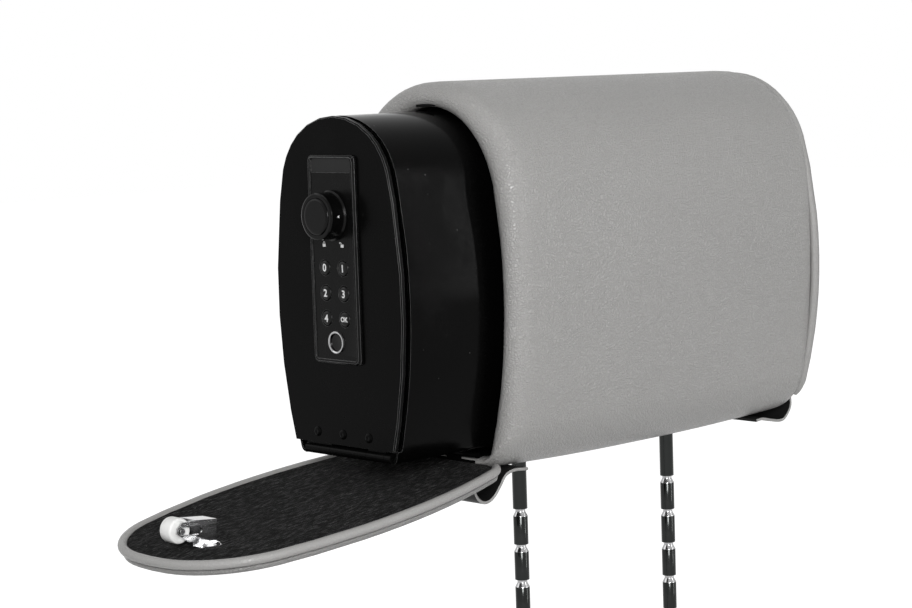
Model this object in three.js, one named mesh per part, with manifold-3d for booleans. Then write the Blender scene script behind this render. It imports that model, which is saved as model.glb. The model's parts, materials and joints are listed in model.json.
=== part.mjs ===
// A car safe that is built into a headrest: a padded head on two posts, with a flap at each end, and a steel
// safe that slides out of the left end. It is shown with the safe slid out and the left flap folded down.
// Millimetres. +X runs along the head to its far end, +Y away from the front, +Z up. The origin is midway
// between the posts, at the mean height of the head's underside.
import * as THREE from "three";
import { mergeVertices } from "three/addons/utils/BufferGeometryUtils.js";
import Module from "manifold-3d";

const wasm = await Module();
wasm.setup();

// Clearances
const GAP = 0.3; // between pieces that touch
const RUN = 0.4; // between pieces that turn or slide on each other

// Outlines are given from the crown down one side as [radius, degrees turned] pairs: the crown, the shoulder,
// the long side and the bottom corner, which turns on until the bottom is level.
const PAD_ARCS = [[125.9, 4.3], [74.1, 80], [554.6, 15.14], [44.5, 80.56]];
const PAD_UNDERSIDE = 3.1; // how far the underside's middle hangs below its mean height
const PAD_BELLY = 5.3; // and below its own ends
const LEATHER = 2;
const HEM = 14; // leather turned in at each mouth
const SLEEVE_WALL = 2;

// Each rim of the pad: how far its nose lies from the posts' middle, how far back its outer and inner curves
// start, and where between the pad's outside (0) and the mouth (1) the nose is. The far rim is pressed square
// by its shut flap.
const LEFT_RIM = { nose: 153, outer: 15.5, inner: 6, crest: 0.63 };
const RIGHT_RIM = { nose: 147.3, outer: 3, inner: 6, crest: 0.093 };
const MOUTH_FLOOR = 9.2; // above the pad's underside
const MOUTH_ARCS = [[54.8, 49.1], [71.1, 29.3], [336, 29.4], [5, 72.2]];

// The safe
const FLOOR_WALL = 16.3; // from the pad's underside to the safe's
const SAFE_ARCS = [[57.3, 27.9], [46.6, 49.5], [354.6, 28.38], [5, 74.22]];
const SAFE_LENGTH = 210;
const SAFE_SHEET = 1.6;
const STOWED_INSET = 81.3; // door face behind the rim when the safe is pushed home
const SAFE_TRAVEL = 160; // how far the safe is slid out here

// Door and its bottom hinge
const DOOR_PLATE = 3;
const DOOR_GAP = 4; // dark gap between the door plate and the shell
const DOOR_FOOT = 8.5; // from the safe's underside to the door plate's lower edge
const DOOR_CHAMFER = 0.8;
const BARREL_R = 3.4;
const BARREL_SETBACK = 4.3; // hinge axis behind the door face
const PIN_R = 1.3;
const LEAF = 1.2;
const LEAF_HEIGHT = 15;
const RIVET_R = 3.2;
const RIVET_PITCH = 24.3;
const RIVET_RISE = 7; // above the door's lower edge
const FRAME_LIP = 9;

// Lock module on the door
const BEZEL_WIDTH = 44;
const BEZEL_HEIGHT = 130.4;
const BEZEL_DROP = 24.2; // from the door's top
const BEZEL_PROUD = 3;
const BEZEL_BORDER = 2.6;
const FIELD_DEPTH = 0.8;
const KNOB_R = 14.7;
const KNOB_LENGTH = 12;
const KNOB_DROP = 37.4; // below the bezel's top
const KNOB_CAP_R = 11.4;
const SHAFT_R = 4;
const KEY_R = 4.8;
const KEY_PITCH_Y = 17;
const KEY_PITCH_Z = 15.9;
const KEY_DROP = 70.2;
const KEY_STROKE = 0.8;
const SENSOR_DROP = 116.8;
const SENSOR_RING_R = 7;
const SENSOR_R = 5.4;
const HOUSING_DEPTH = 20.6;
const CAM_REACH = 50;
const CAM_WIDTH = 14;

// Flaps: u runs from the hinge axis to the tip, h is the height over the hinge axis on the lined side
const FLAP_ROOT = 5.4;
const FLAP_ARCS = [[117.5, 7.4], [59.8, 66.8], [304.8, 32.9], [15, 72.9]];
const FLAP_DROOP = 6.8; // degrees below level when folded down
const LEFT_AXIS = 151; // hinge axis from the posts' middle
const RIGHT_AXIS = 146;
const FLAP_AXIS_UP = 10.6;
const PIPING_R = 2.9;
const PIPING_H = -4.5; // centre height
const LINING_EDGE_H = -3.3; // the lining's face beside the piping
const DISH = 3.9; // how much deeper the flap's middle lies
const DISH_INSET = 14.5;
const SEAT_START = 62; // the lining thickens from here towards the tip, for the catch to stand on
const SEAT_FULL = 130;
const SEAT_RISE = 3;
const LINING = 0.8;
const BOARD = 1.5;
const FLAP_LEATHER = 1.3;
const FLAP_BARREL_R = 2;
const FLAP_PIN_R = 1;
const FLAP_LEAF = 1;
const FLAP_LEAF_STEP = 4.2; // the leaf steps down to the board this far out
const FLAP_LEAF_REACH = 26;
const HINGE_HALF_LENGTH = 38;

// Roller catch near the flap's tip
const CATCH_U = 191.3;
const CATCH_PITCH = 12.8; // degrees, roller end raised
const CATCH_WIDTH = 13.8;
const CATCH_SHEET = 1.2;
const ROLLER_R = 7.7;
const ROLLER_L = 25.6; // roller axis from the bracket's heel
const ROLLER_H = 6.8;
const AXLE_R = 1.9;
const SLOT_START = 10.7;
const SLOT_END = 28;
const SCREW_R = 5.3;

// Posts
const POST_SPACING = 152;
const POST_R = 5;
const POST_LENGTH = 175.2; // below the pad
const POST_TRAVEL = 27; // each post moves this far to the right in its slot
const NOTCH_PITCH = 24.5;
const NOTCH_FIRST = 40.2;
const NOTCH_COUNT = 5;
const NOTCH_R = 3.4;
const THREAD_R = 4;
const PLATE_BELOW = 1.5;
const BASE_PLATE = 3;
const BASE_HALF_WIDTH = 32;

const rad = THREE.MathUtils.degToRad;

// Headings in degrees at which every outline is sampled, from the crown (0) to the level bottom (180)
const HEADINGS = [0, 12, 25, 39, 50, 61, 72, 80, 87, 92, 97, 102, 108, 120, 135, 150, 165, 180].map(rad);

// One side of an outline: gives the point [y, z] where it has turned by a heading, moved outwards by outset
function outline(bottom, arcs) {
  const spans = [];
  let [y, z, from] = [0, 0, 0];
  for (const [radius, turn] of arcs) {
    const to = from + rad(turn);
    const centre = [y - radius * Math.sin(from), z - radius * Math.cos(from)];
    spans.push({ centre, radius, to });
    [y, z, from] = [centre[0] + radius * Math.sin(to), centre[1] + radius * Math.cos(to), to];
  }
  const lift = bottom - z;
  return (heading, outset = 0) => {
    const { centre, radius } = spans.find(({ to }) => heading <= to) ?? spans.at(-1);
    const reach = Math.max(radius + outset, 0.2);
    return [centre[0] + reach * Math.sin(heading), centre[1] + lift + reach * Math.cos(heading)];
  };
}

// A full ring of points: down the +y side, across the bottom, and up the -y side
function ring(shape, outset = 0) {
  const side = HEADINGS.map((a) => shape(a, outset));
  return [...side, ...side.slice(1).reverse().map(([y, z]) => [-y, z])];
}

const padShape = outline(0, PAD_ARCS);
const mouthShape = outline(MOUTH_FLOOR, MOUTH_ARCS);
const safeShape = outline(FLOOR_WALL, SAFE_ARCS);
const flapShape = outline(FLAP_ROOT, FLAP_ARCS);
const mouthTop = mouthShape(0)[1];
const safeTop = safeShape(0)[1];
const padHalfDepth = padShape(Math.PI / 2)[0];

// A solid skinned over rings of equal length. closed joins the last ring to the first, as in a tube's wall;
// otherwise both ends are capped, which suits convex rings.
function loft(rings, closed = false) {
  const n = rings[0].length;
  const faces = [];
  const spans = closed ? rings.length : rings.length - 1;
  for (let i = 0; i < spans; i++)
    for (let j = 0; j < n; j++) {
      const a = i * n + j;
      const b = i * n + ((j + 1) % n);
      const c = ((i + 1) % rings.length) * n + j;
      const d = ((i + 1) % rings.length) * n + ((j + 1) % n);
      faces.push(a, c, b, b, c, d);
    }
  if (!closed)
    for (let j = 1; j < n - 1; j++) {
      const end = (rings.length - 1) * n;
      faces.push(0, j, j + 1, end, end + j + 1, end + j);
    }
  const geometry = new THREE.BufferGeometry();
  geometry.setAttribute("position", new THREE.Float32BufferAttribute(rings.flat(2), 3));
  geometry.setIndex(faces);
  return geometry;
}

// Booleans
function solid(shape) {
  if (!shape.isBufferGeometry) return shape;
  const bare = shape.index ? shape.toNonIndexed() : shape.clone();
  for (const name of Object.keys(bare.attributes)) if (name !== "position") bare.deleteAttribute(name);
  const merged = mergeVertices(bare, 1e-4);
  return new wasm.Manifold(
    new wasm.Mesh({
      numProp: 3,
      vertProperties: new Float32Array(merged.attributes.position.array),
      triVerts: new Uint32Array(merged.index.array),
    }),
  );
}
const join = (first, ...rest) => rest.reduce((a, b) => a.add(solid(b)), solid(first));
const cut = (first, ...rest) => rest.reduce((a, b) => a.subtract(solid(b)), solid(first));
const common = (a, b) => solid(a).intersect(solid(b));

function geometryOf(shape) {
  if (shape.isBufferGeometry) return shape;
  const mesh = shape.getMesh();
  const geometry = new THREE.BufferGeometry();
  geometry.setAttribute("position", new THREE.BufferAttribute(new Float32Array(mesh.vertProperties), 3));
  geometry.setIndex(new THREE.BufferAttribute(new Uint32Array(mesh.triVerts), 1));
  return geometry;
}

// Basic shapes by their limits
function block(x0, x1, y0, y1, z0, z1) {
  return new THREE.BoxGeometry(x1 - x0, y1 - y0, z1 - z0).translate(
    (x0 + x1) / 2, (y0 + y1) / 2, (z0 + z1) / 2,
  );
}
function rodX(r, x0, x1, y, z, sides = 24) {
  return new THREE.CylinderGeometry(r, r, x1 - x0, sides).rotateZ(-Math.PI / 2).translate((x0 + x1) / 2, y, z);
}
function rodY(r, y0, y1, x, z, sides = 16) {
  return new THREE.CylinderGeometry(r, r, y1 - y0, sides).translate(x, (y0 + y1) / 2, z);
}
function rodZ(r, z0, z1, x, y, sides = 16) {
  return new THREE.CylinderGeometry(r, r, z1 - z0, sides).rotateX(Math.PI / 2).translate(x, y, (z0 + z1) / 2);
}
// A turned shape about the X axis through (y, z), from pairs of [x, radius] that run from its +X end
function turnedX(profile, y, z, sides = 24) {
  const points = profile.toReversed().map(([x, r]) => new THREE.Vector2(r, x));
  return new THREE.LatheGeometry(points, sides).rotateZ(-Math.PI / 2).translate(0, y, z);
}
// A rounded slot or plate in the XY plane between z0 and z1
function slotZ(x0, x1, half, z0, z1, steps = 5) {
  const shape = new THREE.Shape();
  shape.absarc(x1 - half, 0, half, -Math.PI / 2, Math.PI / 2);
  shape.absarc(x0 + half, 0, half, Math.PI / 2, (3 * Math.PI) / 2);
  const depth = z1 - z0;
  return new THREE.ExtrudeGeometry(shape, { depth, bevelEnabled: false, curveSegments: steps }).translate(0, 0, z0);
}
// A rounded rectangle facing -X, centred on (0, z), between x0 and x1
function panelX(width, height, radius, x0, x1, z) {
  const w = width / 2 - radius;
  const h = height / 2 - radius;
  const shape = new THREE.Shape();
  shape.absarc(w, h, radius, 0, Math.PI / 2);
  shape.absarc(-w, h, radius, Math.PI / 2, Math.PI);
  shape.absarc(-w, -h, radius, Math.PI, 1.5 * Math.PI);
  shape.absarc(w, -h, radius, 1.5 * Math.PI, 2 * Math.PI);
  return new THREE.ExtrudeGeometry(shape, { depth: x1 - x0, bevelEnabled: false, curveSegments: 3 })
    .rotateX(Math.PI / 2)
    .rotateZ(Math.PI / 2)
    .translate(x0, 0, z);
}
// Rings of the safe's and flap's families
const safeRing = (x, outset) => ring(safeShape, outset).map(([y, z]) => [x, y, z]);
const flapRing = (h, outset) => ring(flapShape, outset).map(([y, u]) => [-u, y, h]);
const safePlate = (x0, x1, outset) => loft([safeRing(x0, outset), safeRing(x1, outset)]);

// Materials and placing
const finish = (color, roughness, metalness = 0) =>
  new THREE.MeshStandardMaterial({ color, roughness, metalness });
const leather = () => finish(0x8f8f90, 0.55);
const blackSteel = () => finish(0x101012, 0.4, 0.4);
const blackPlastic = () => finish(0x17181a, 0.5);
const brightSteel = () => finish(0xc8cacc, 0.22, 1);
const whiteNylon = () => finish(0xe9e9e6, 0.5);
const felt = () => finish(0x1b1b1c, 0.95);

const carSafe = new THREE.Group();
function group(parent = carSafe) {
  const made = new THREE.Group();
  parent.add(made);
  return made;
}
function piece(name, shape, material, parent = carSafe) {
  const geometry = geometryOf(shape);
  geometry.computeVertexNormals();
  const mesh = new THREE.Mesh(geometry, material);
  mesh.name = name;
  parent.add(mesh);
  return mesh;
}

// The padded head. t goes from the outside (0) to the mouth (1) round a rim, and inset is the depth under
// the leather's surface on whichever side it faces.
const RIM_STEPS = 3;
const padHalfLength = (LEFT_RIM.nose + RIGHT_RIM.nose) / 2;
const underside = (x) => PAD_BELLY * Math.abs(x / padHalfLength) ** 2.5 - PAD_UNDERSIDE;
function padRing(x, t, inset) {
  const outer = ring(padShape, -inset);
  const inner = ring(mouthShape, inset);
  return outer.map(([y, z], i) => {
    const heading = HEADINGS[Math.min(i, outer.length - i)];
    const under = Math.max(0, (heading - rad(115)) / rad(65)) ** 2;
    const lowered = z + under * underside(x);
    return [x, y + (inner[i][0] - y) * t, lowered + (inner[i][1] - lowered) * t];
  });
}
const padStations = [-0.7, -0.36, 0, 0.36, 0.7].map((share) => share * padHalfLength);
// Rings over a rim, from the pad's side round the nose into the mouth
function rimRings(side, rim, inset) {
  const steps = Array.from({ length: RIM_STEPS + 1 }, (_, i) => (Math.PI / 2) * (i / RIM_STEPS));
  const over = steps.map((a) =>
    padRing(side * (rim.nose - rim.outer + (rim.outer - inset) * Math.sin(a)), rim.crest * (1 - Math.cos(a)), inset),
  );
  const under = steps.slice(1).map((a) =>
    padRing(
      side * (rim.nose - rim.inner + (rim.inner - inset) * Math.cos(a)),
      rim.crest + (1 - rim.crest) * Math.sin(a),
      inset,
    ),
  );
  return [...over, ...under];
}
const hemEndOf = (rim) => rim.nose - rim.inner - HEM;
const leftHem = -hemEndOf(LEFT_RIM);
const rightHem = hemEndOf(RIGHT_RIM);
const foamInset = LEATHER + 2 * GAP;
const postX = [-POST_SPACING / 2, POST_SPACING / 2];
const sleeveFloor = MOUTH_FLOOR;
const basePlateTop = sleeveFloor - SLEEVE_WALL - GAP - 0.1;
const basePlateBottom = basePlateTop - BASE_PLATE;
const nutHalf = 10;
const threadSlot = (x, z0, z1, half = THREAD_R + RUN) =>
  slotZ(x - half, x + POST_TRAVEL + half, half, z0, z1);

// Strikes let into the hem under the crown of each mouth
const STRIKE = 1.8;
const STRIKE_HALF = 9;
const STRIKE_SET = 0.2; // the strike's face above the mouth
const STRIKE_IN = 17;
const strikeBlock = (side, rim, clear) => {
  const ends = [side * (rim.nose - 1.6 + clear), side * (rim.nose - 1.6 - STRIKE_IN - clear)].sort((a, b) => a - b);
  const half = STRIKE_HALF + clear;
  return block(...ends, -half, half, mouthTop + STRIKE_SET - 6 * clear, mouthTop + STRIKE_SET + STRIKE + 0.5 * clear);
};
const strikes = [["strike_left", -1, LEFT_RIM], ["strike_right", 1, RIGHT_RIM]];

const padSkin = (inset) => [
  ...rimRings(-1, LEFT_RIM, inset).reverse(),
  ...padStations.map((x) => padRing(x, 0, inset)),
  ...rimRings(1, RIGHT_RIM, inset),
];
const coverRings = [
  padRing(leftHem, 1, 0),
  ...padSkin(0),
  padRing(rightHem, 1, 0),
  padRing(rightHem, 1, LEATHER),
  ...padSkin(LEATHER).reverse(),
  padRing(leftHem, 1, LEATHER),
];
piece(
  "leather_cover",
  cut(
    loft(coverRings, true),
    ...postX.map((x) => threadSlot(x, -PAD_BELLY, basePlateBottom)),
    ...strikes.map(([, side, rim]) => strikeBlock(side, rim, GAP)),
  ),
  leather(),
);
for (const [name, side, rim] of strikes) piece(name, strikeBlock(side, rim, 0), blackSteel());

const foamChannel = block(
  leftHem, rightHem, -BASE_HALF_WIDTH - 1, BASE_HALF_WIDTH + 1, basePlateBottom - GAP, MOUTH_FLOOR + 3,
);
piece(
  "foam_pad",
  cut(
    loft(padSkin(foamInset), true),
    foamChannel,
    ...postX.map((x) => threadSlot(x, -PAD_BELLY, MOUTH_FLOOR)),
    ...strikes.map(([, side, rim]) => strikeBlock(side, rim, GAP)),
  ),
  finish(0xd8cfa8, 0.95),
);

const mouthRing = (x, outset) => ring(mouthShape, outset).map(([y, z]) => [x, y, z]);
const sleeveRings = [
  mouthRing(leftHem + GAP, 0),
  mouthRing(leftHem + GAP, SLEEVE_WALL),
  mouthRing(rightHem - GAP, SLEEVE_WALL),
  mouthRing(rightHem - GAP, 0),
];
const nutWell = (x) =>
  block(x - nutHalf, x + POST_TRAVEL + nutHalf, -nutHalf, nutHalf, basePlateTop, sleeveFloor + 1);
piece("sleeve_housing", cut(loft(sleeveRings, true), ...postX.map(nutWell)), blackPlastic());

piece(
  "base_plate",
  cut(
    block(leftHem + GAP, rightHem - GAP, -BASE_HALF_WIDTH, BASE_HALF_WIDTH, basePlateBottom, basePlateTop),
    ...postX.map((x) => threadSlot(x, basePlateBottom - 1, basePlateTop + 1)),
  ),
  blackSteel(),
);

// Nylon glides that the safe runs on, joined by cross bars; one bar is the stop that keeps the safe in
const glideBottom = sleeveFloor + GAP;
const glideTop = FLOOR_WALL - GAP;
const GLIDE_HALF_LENGTH = 118;
const glideStart = -GLIDE_HALF_LENGTH;
const glideEnd = GLIDE_HALF_LENGTH;
const GLIDE_IN = 24;
const GLIDE_OUT = 34;
const faceX = -LEFT_RIM.nose + STOWED_INSET - SAFE_TRAVEL;
const backX = faceX + SAFE_LENGTH;
const BACK_PLATE = 2;
const stopX = backX - BACK_PLATE - RUN;
const BAR = 6;
const bar = (x, z1) => block(x - BAR, x, -GLIDE_IN - 1, GLIDE_IN + 1, glideBottom, z1);
piece(
  "glide_tray",
  join(
    block(glideStart, glideEnd, GLIDE_IN, GLIDE_OUT, glideBottom, glideTop),
    block(glideStart, glideEnd, -GLIDE_OUT, -GLIDE_IN, glideBottom, glideTop),
    bar(glideStart + BAR, glideBottom + 1.2),
    bar(stopX, glideTop - GAP),
    bar(glideEnd, glideBottom + 1.2),
  ),
  whiteNylon(),
);

// Posts: notched rods, each with a shoulder under its slot plate and a nut over the base plate
const SHOULDER_R = 6.6;
const SHOULDER = 2.2;
const SLOT_PLATE_HALF = 11;
const SLOT_PLATE_REACH = 38;
const NUT_HEIGHT = 4;
const NUT_R = 7.4;
const SLOT_PLATE_BACK = 9;
const nutBottom = basePlateTop + GAP;
const nutTop = nutBottom + NUT_HEIGHT;
function postProfile(shoulderTop) {
  const chamfer = 1.2;
  const points = [[0, -POST_LENGTH], [POST_R - chamfer, -POST_LENGTH], [POST_R, -POST_LENGTH + chamfer]];
  for (let i = NOTCH_COUNT - 1; i >= 0; i--) {
    const z = -NOTCH_FIRST - i * NOTCH_PITCH; // the flat shoulder at the notch's top
    points.push([POST_R, z - 5], [NOTCH_R, z - 2], [NOTCH_R, z], [POST_R, z]);
  }
  points.push([POST_R, shoulderTop - SHOULDER], [SHOULDER_R, shoulderTop - SHOULDER]);
  points.push([SHOULDER_R, shoulderTop], [THREAD_R, shoulderTop], [THREAD_R, nutTop + GAP], [0, nutTop + GAP]);
  return points.map(([r, z]) => new THREE.Vector2(r, z));
}
["left", "right"].forEach((side, i) => {
  const post = group();
  post.position.x = postX[i];
  const plateSpan = [postX[i] - SLOT_PLATE_BACK, postX[i], postX[i] + SLOT_PLATE_REACH];
  const slotPlateTop = Math.min(...plateSpan.map(underside)) - GAP;
  const slotPlateBottom = slotPlateTop - PLATE_BELOW;
  const profile = postProfile(slotPlateBottom - GAP);
  piece("post_" + side, new THREE.LatheGeometry(profile, 16).rotateX(Math.PI / 2), brightSteel(), post);
  piece(
    "post_nut_" + side,
    cut(rodZ(NUT_R, nutBottom, nutTop, 0, 0, 6), rodZ(THREAD_R + GAP, nutBottom - 1, nutTop + 1, 0, 0)),
    brightSteel(),
    post,
  );
  piece(
    "slot_plate_" + side,
    cut(
      block(
        -SLOT_PLATE_BACK, SLOT_PLATE_REACH, -SLOT_PLATE_HALF, SLOT_PLATE_HALF, slotPlateBottom, slotPlateTop,
      ),
      threadSlot(0, slotPlateBottom - 1, slotPlateTop + 1),
    ),
    blackSteel(),
    post,
  );
});

// Flap hinges: the base leaf lies over the mouth's hem and holds the pin; the flap's leaf turns on it
const KNUCKLE_A = 12;
const KNUCKLE_B = 26;
const baseKnuckles = [[-HINGE_HALF_LENGTH, -KNUCKLE_B], [-KNUCKLE_A, KNUCKLE_A], [KNUCKLE_B, HINGE_HALF_LENGTH]];
const flapKnuckles = [[-KNUCKLE_B + RUN, -KNUCKLE_A - RUN], [KNUCKLE_A + RUN, KNUCKLE_B - RUN]];
const hingeFloor = sleeveFloor + GAP - FLAP_AXIS_UP; // underside of the base leaf, from the axis
const HINGE_REACH = 24;
for (const [name, axisX] of [["hinge_base_left", -LEFT_AXIS], ["hinge_base_right", RIGHT_AXIS]]) {
  const base = group();
  base.position.set(axisX, 0, FLAP_AXIS_UP);
  base.rotation.z = axisX < 0 ? 0 : Math.PI;
  const clear = FLAP_BARREL_R + RUN;
  piece(
    name,
    join(
      block(clear, HINGE_REACH, -HINGE_HALF_LENGTH, HINGE_HALF_LENGTH, hingeFloor, hingeFloor + FLAP_LEAF),
      ...baseKnuckles.map(([y0, y1]) => rodY(FLAP_BARREL_R, y0, y1, 0, 0, 12)),
      ...baseKnuckles.map(([y0, y1]) => block(0, clear + 0.5, y0, y1, hingeFloor, hingeFloor + FLAP_LEAF)),
      rodY(FLAP_PIN_R, -HINGE_HALF_LENGTH + 1, HINGE_HALF_LENGTH - 1, 0, 0, 12),
    ),
    blackSteel(),
    base,
  );
}

// A flap, built flat with its hinge axis at the origin and its tip towards -X
const LINING_H = LINING_EDGE_H - DISH;
const LAYER_GAP = 0.2;
const boardTop = LINING_H - LINING - LAYER_GAP;
const leatherTop = boardTop - BOARD - LAYER_GAP;
const leatherBottom = leatherTop - FLAP_LEATHER;
const leafHalf = HINGE_HALF_LENGTH + GAP;
const flangeTop = PIPING_H - PIPING_R - GAP;
const FLANGE_OUT = 3.4;
// A dished layer of the flap between its bottom and top, each given at its edge and in the middle
const dished = (edgeBottom, edgeTop, middleBottom, middleTop) =>
  loft([
    flapRing(middleBottom, -DISH_INSET),
    flapRing(edgeBottom, -GAP),
    flapRing(edgeTop, -GAP),
    flapRing(middleTop, -DISH_INSET),
  ]);
const seatTop = LINING_H + SEAT_RISE;
const intoLining = LINING / 2;
function seat() {
  const low = LINING_H - intoLining;
  const profile = [[-SEAT_START, low], [-SEAT_FULL, seatTop], [-2 * CATCH_U, seatTop], [-2 * CATCH_U, low]];
  const wedge = new THREE.ExtrudeGeometry(new THREE.Shape(profile.map(([x, h]) => new THREE.Vector2(x, h))), {
    depth: 2 * padHalfDepth,
    bevelEnabled: false,
  }).rotateX(Math.PI / 2).translate(0, padHalfDepth, 0);
  return common(wedge, dished(LINING_EDGE_H - intoLining, LINING_EDGE_H - GAP, low, LINING_EDGE_H - GAP));
}
const lining = () => join(dished(LINING_EDGE_H - LINING, LINING_EDGE_H, LINING_H - LINING, LINING_H), seat());
const boardEdgeTop = LINING_EDGE_H - LINING - LAYER_GAP;
const board = (edgeTop, middleTop) => dished(flangeTop + 0.6, edgeTop, boardTop - BOARD, middleTop);
function flapLeather() {
  return cut(
    loft([
      flapRing(leatherBottom, -DISH_INSET),
      flapRing(flangeTop - 1.1, FLANGE_OUT - 0.8),
      flapRing(flangeTop - 0.5, FLANGE_OUT),
      flapRing(flangeTop, FLANGE_OUT),
      flapRing(flangeTop, -GAP),
      flapRing(leatherTop, -DISH_INSET),
    ]),
    // room for the hinge leaf
    block(-FLAP_LEAF_REACH - GAP, 5, -leafHalf, leafHalf, boardTop - FLAP_LEAF - GAP, 0),
  );
}
function flapPiping() {
  const sides = 8;
  const ends = HEADINGS.filter((a) => a < rad(150));
  const path = [...ends.slice(1).reverse().map((a) => [a, -1]), ...ends.map((a) => [a, 1])];
  return loft(
    path.map(([a, side]) =>
      Array.from({ length: sides }, (_, k) => {
        const b = (2 * Math.PI * k) / sides;
        const [y, u] = flapShape(a, PIPING_R + PIPING_R * Math.cos(b));
        return [-u, side * y, PIPING_H - PIPING_R * Math.sin(b)];
      }),
    ),
  );
}
const leafNotch = block(
  -FLAP_LEAF_REACH - GAP, 0, -leafHalf, leafHalf, boardTop - BOARD - 1, boardTop + 0.1,
);
function flapLeaf() {
  const step = -FLAP_LEAF_STEP;
  const low = boardTop - FLAP_LEAF;
  const knuckle = ([y0, y1]) =>
    join(
      rodY(FLAP_BARREL_R, y0, y1, 0, 0, 12),
      block(step, 0, y0, y1, -1.4, -0.2),
      block(step, step + FLAP_LEAF, y0, y1, -3, -0.2),
    );
  return cut(
    join(
      block(-FLAP_LEAF_REACH, step + FLAP_LEAF, -HINGE_HALF_LENGTH, HINGE_HALF_LENGTH, low, boardTop),
      block(step, step + FLAP_LEAF, -HINGE_HALF_LENGTH, HINGE_HALF_LENGTH, low, -2.4),
      ...flapKnuckles.map(knuckle),
    ),
    rodY(FLAP_PIN_R + GAP, -HINGE_HALF_LENGTH, HINGE_HALF_LENGTH, 0, 0, 12),
  );
}
const screwU = CATCH_U + 11;
const screwY = -17;
const screwHole = (z0, z1) => rodZ(1.9, z0, z1, -screwU, screwY, 12);

const leftFlap = group();
leftFlap.position.set(-LEFT_AXIS, 0, FLAP_AXIS_UP);
leftFlap.rotation.y = -rad(FLAP_DROOP);
piece("flap_leather_left", flapLeather(), leather(), leftFlap);
piece(
  "flap_board_left",
  cut(
    board(boardEdgeTop, boardTop),
    leafNotch,
    screwHole(boardTop - BOARD - 1, boardTop + 1),
  ),
  blackPlastic(),
  leftFlap,
);
piece(
  "flap_lining_left",
  cut(
    lining(),
    screwHole(LINING_H - LINING - 1, seatTop + 1),
  ),
  felt(),
  leftFlap,
);
piece("flap_piping_left", flapPiping(), leather(), leftFlap);
piece("flap_hinge_leaf_left", flapLeaf(), blackSteel(), leftFlap);

// The far flap stands shut. Its lining is bonded to its board, and a block on it meets the far strike.
const rightFlap = group();
rightFlap.position.set(RIGHT_AXIS, 0, FLAP_AXIS_UP);
rightFlap.rotation.y = -Math.PI / 2;
const farFlap = group(rightFlap);
farFlap.rotation.z = Math.PI;
piece("flap_leather_right", flapLeather(), leather(), farFlap);
piece(
  "flap_board_right",
  cut(
    board(LINING_EDGE_H, LINING_H),
    leafNotch,
  ),
  felt(),
  farFlap,
);
piece("flap_piping_right", flapPiping(), leather(), farFlap);
piece("flap_hinge_leaf_right", flapLeaf(), blackSteel(), farFlap);
const CATCH_BLOCK = 12.4; // how far the block stands off the lining
const blockTop = mouthTop - 2.2 - FLAP_AXIS_UP;
piece(
  "catch_block_right",
  cut(
    block(-blockTop, -blockTop + 12, -12, 12, LINING_H, LINING_H + CATCH_BLOCK),
    board(LINING_EDGE_H + GAP, LINING_H + GAP),
  ),
  blackPlastic(),
  farFlap,
);

// Roller catch on the left flap: a pressed bracket pitched up from the lining, with a sprung roller
const bracket = group(leftFlap);
bracket.position.set(-CATCH_U, 0, seatTop);
bracket.rotation.y = rad(CATCH_PITCH);
const catchHalf = CATCH_WIDTH / 2;
const TOP_PLATE_L = 16.2;
const TOP_PLATE_H = 13;
function sidePlate(y0) {
  const shape = new THREE.Shape();
  const front = SLOT_END + CATCH_SHEET;
  [[0, GAP], [0.73 * SLOT_END, GAP], [front, ROLLER_H - 0.8 * AXLE_R], [front, ROLLER_H + 0.8 * AXLE_R],
    [ROLLER_L, TOP_PLATE_H - CATCH_SHEET], [TOP_PLATE_L, TOP_PLATE_H], [0, TOP_PLATE_H]].forEach(([l, h], i) => (i ? shape.lineTo(-l, h) : shape.moveTo(-l, h)));
  const r = AXLE_R + RUN;
  const slot = new THREE.Path();
  slot.absarc(-SLOT_START - r, ROLLER_H, r, -Math.PI / 2, Math.PI / 2);
  slot.absarc(-SLOT_END + r, ROLLER_H, r, Math.PI / 2, 1.5 * Math.PI);
  shape.holes.push(slot);
  return new THREE.ExtrudeGeometry(shape, { depth: CATCH_SHEET, bevelEnabled: false, curveSegments: 5 })
    .rotateX(Math.PI / 2)
    .translate(0, y0 + CATCH_SHEET, 0);
}
// Feet lie flat on the lining, so they are turned back by the bracket's pitch
const level = (shape) => shape.rotateY(-rad(CATCH_PITCH));
const FOOT_TOP = GAP + CATCH_SHEET;
const footL = screwU - CATCH_U;
const foot = (side) => {
  const strap = [side * (catchHalf - CATCH_SHEET), side * -screwY].sort((a, b) => a - b);
  const web = [side * (catchHalf - CATCH_SHEET), side * catchHalf].sort((a, b) => a - b);
  return join(
    level(block(-footL - 5.8, -footL + 5.8, ...strap, GAP, FOOT_TOP)),
    level(rodZ(5.8, GAP, FOOT_TOP, -footL, side * -screwY, 20)),
    level(block(-footL - 5.8, -footL + 5.8, ...web, GAP, 6.5)),
  );
};
piece(
  "roller_bracket",
  cut(
    join(
      sidePlate(-catchHalf),
      sidePlate(catchHalf - CATCH_SHEET),
      block(-TOP_PLATE_L, 0, -catchHalf, catchHalf, TOP_PLATE_H - CATCH_SHEET, TOP_PLATE_H),
      foot(1),
      foot(-1),
    ),
    level(rodZ(1.9, -3, 3, -footL, screwY, 12)),
    level(rodZ(1.9, -3, 3, -footL, -screwY, 12)),
  ),
  brightSteel(),
  bracket,
);
const screw = new THREE.LatheGeometry(
  [[0, boardTop - BOARD + GAP], [1.5, boardTop - BOARD + GAP], [1.5, seatTop + FOOT_TOP + GAP],
    [SCREW_R, seatTop + FOOT_TOP + GAP], [SCREW_R, seatTop + FOOT_TOP + 1], [SCREW_R - 1.5, seatTop + FOOT_TOP + 2],
    [0, seatTop + FOOT_TOP + 2]].map(([r, z]) => new THREE.Vector2(r, z)),
  16,
).rotateX(Math.PI / 2).translate(-screwU, screwY, 0);
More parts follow.
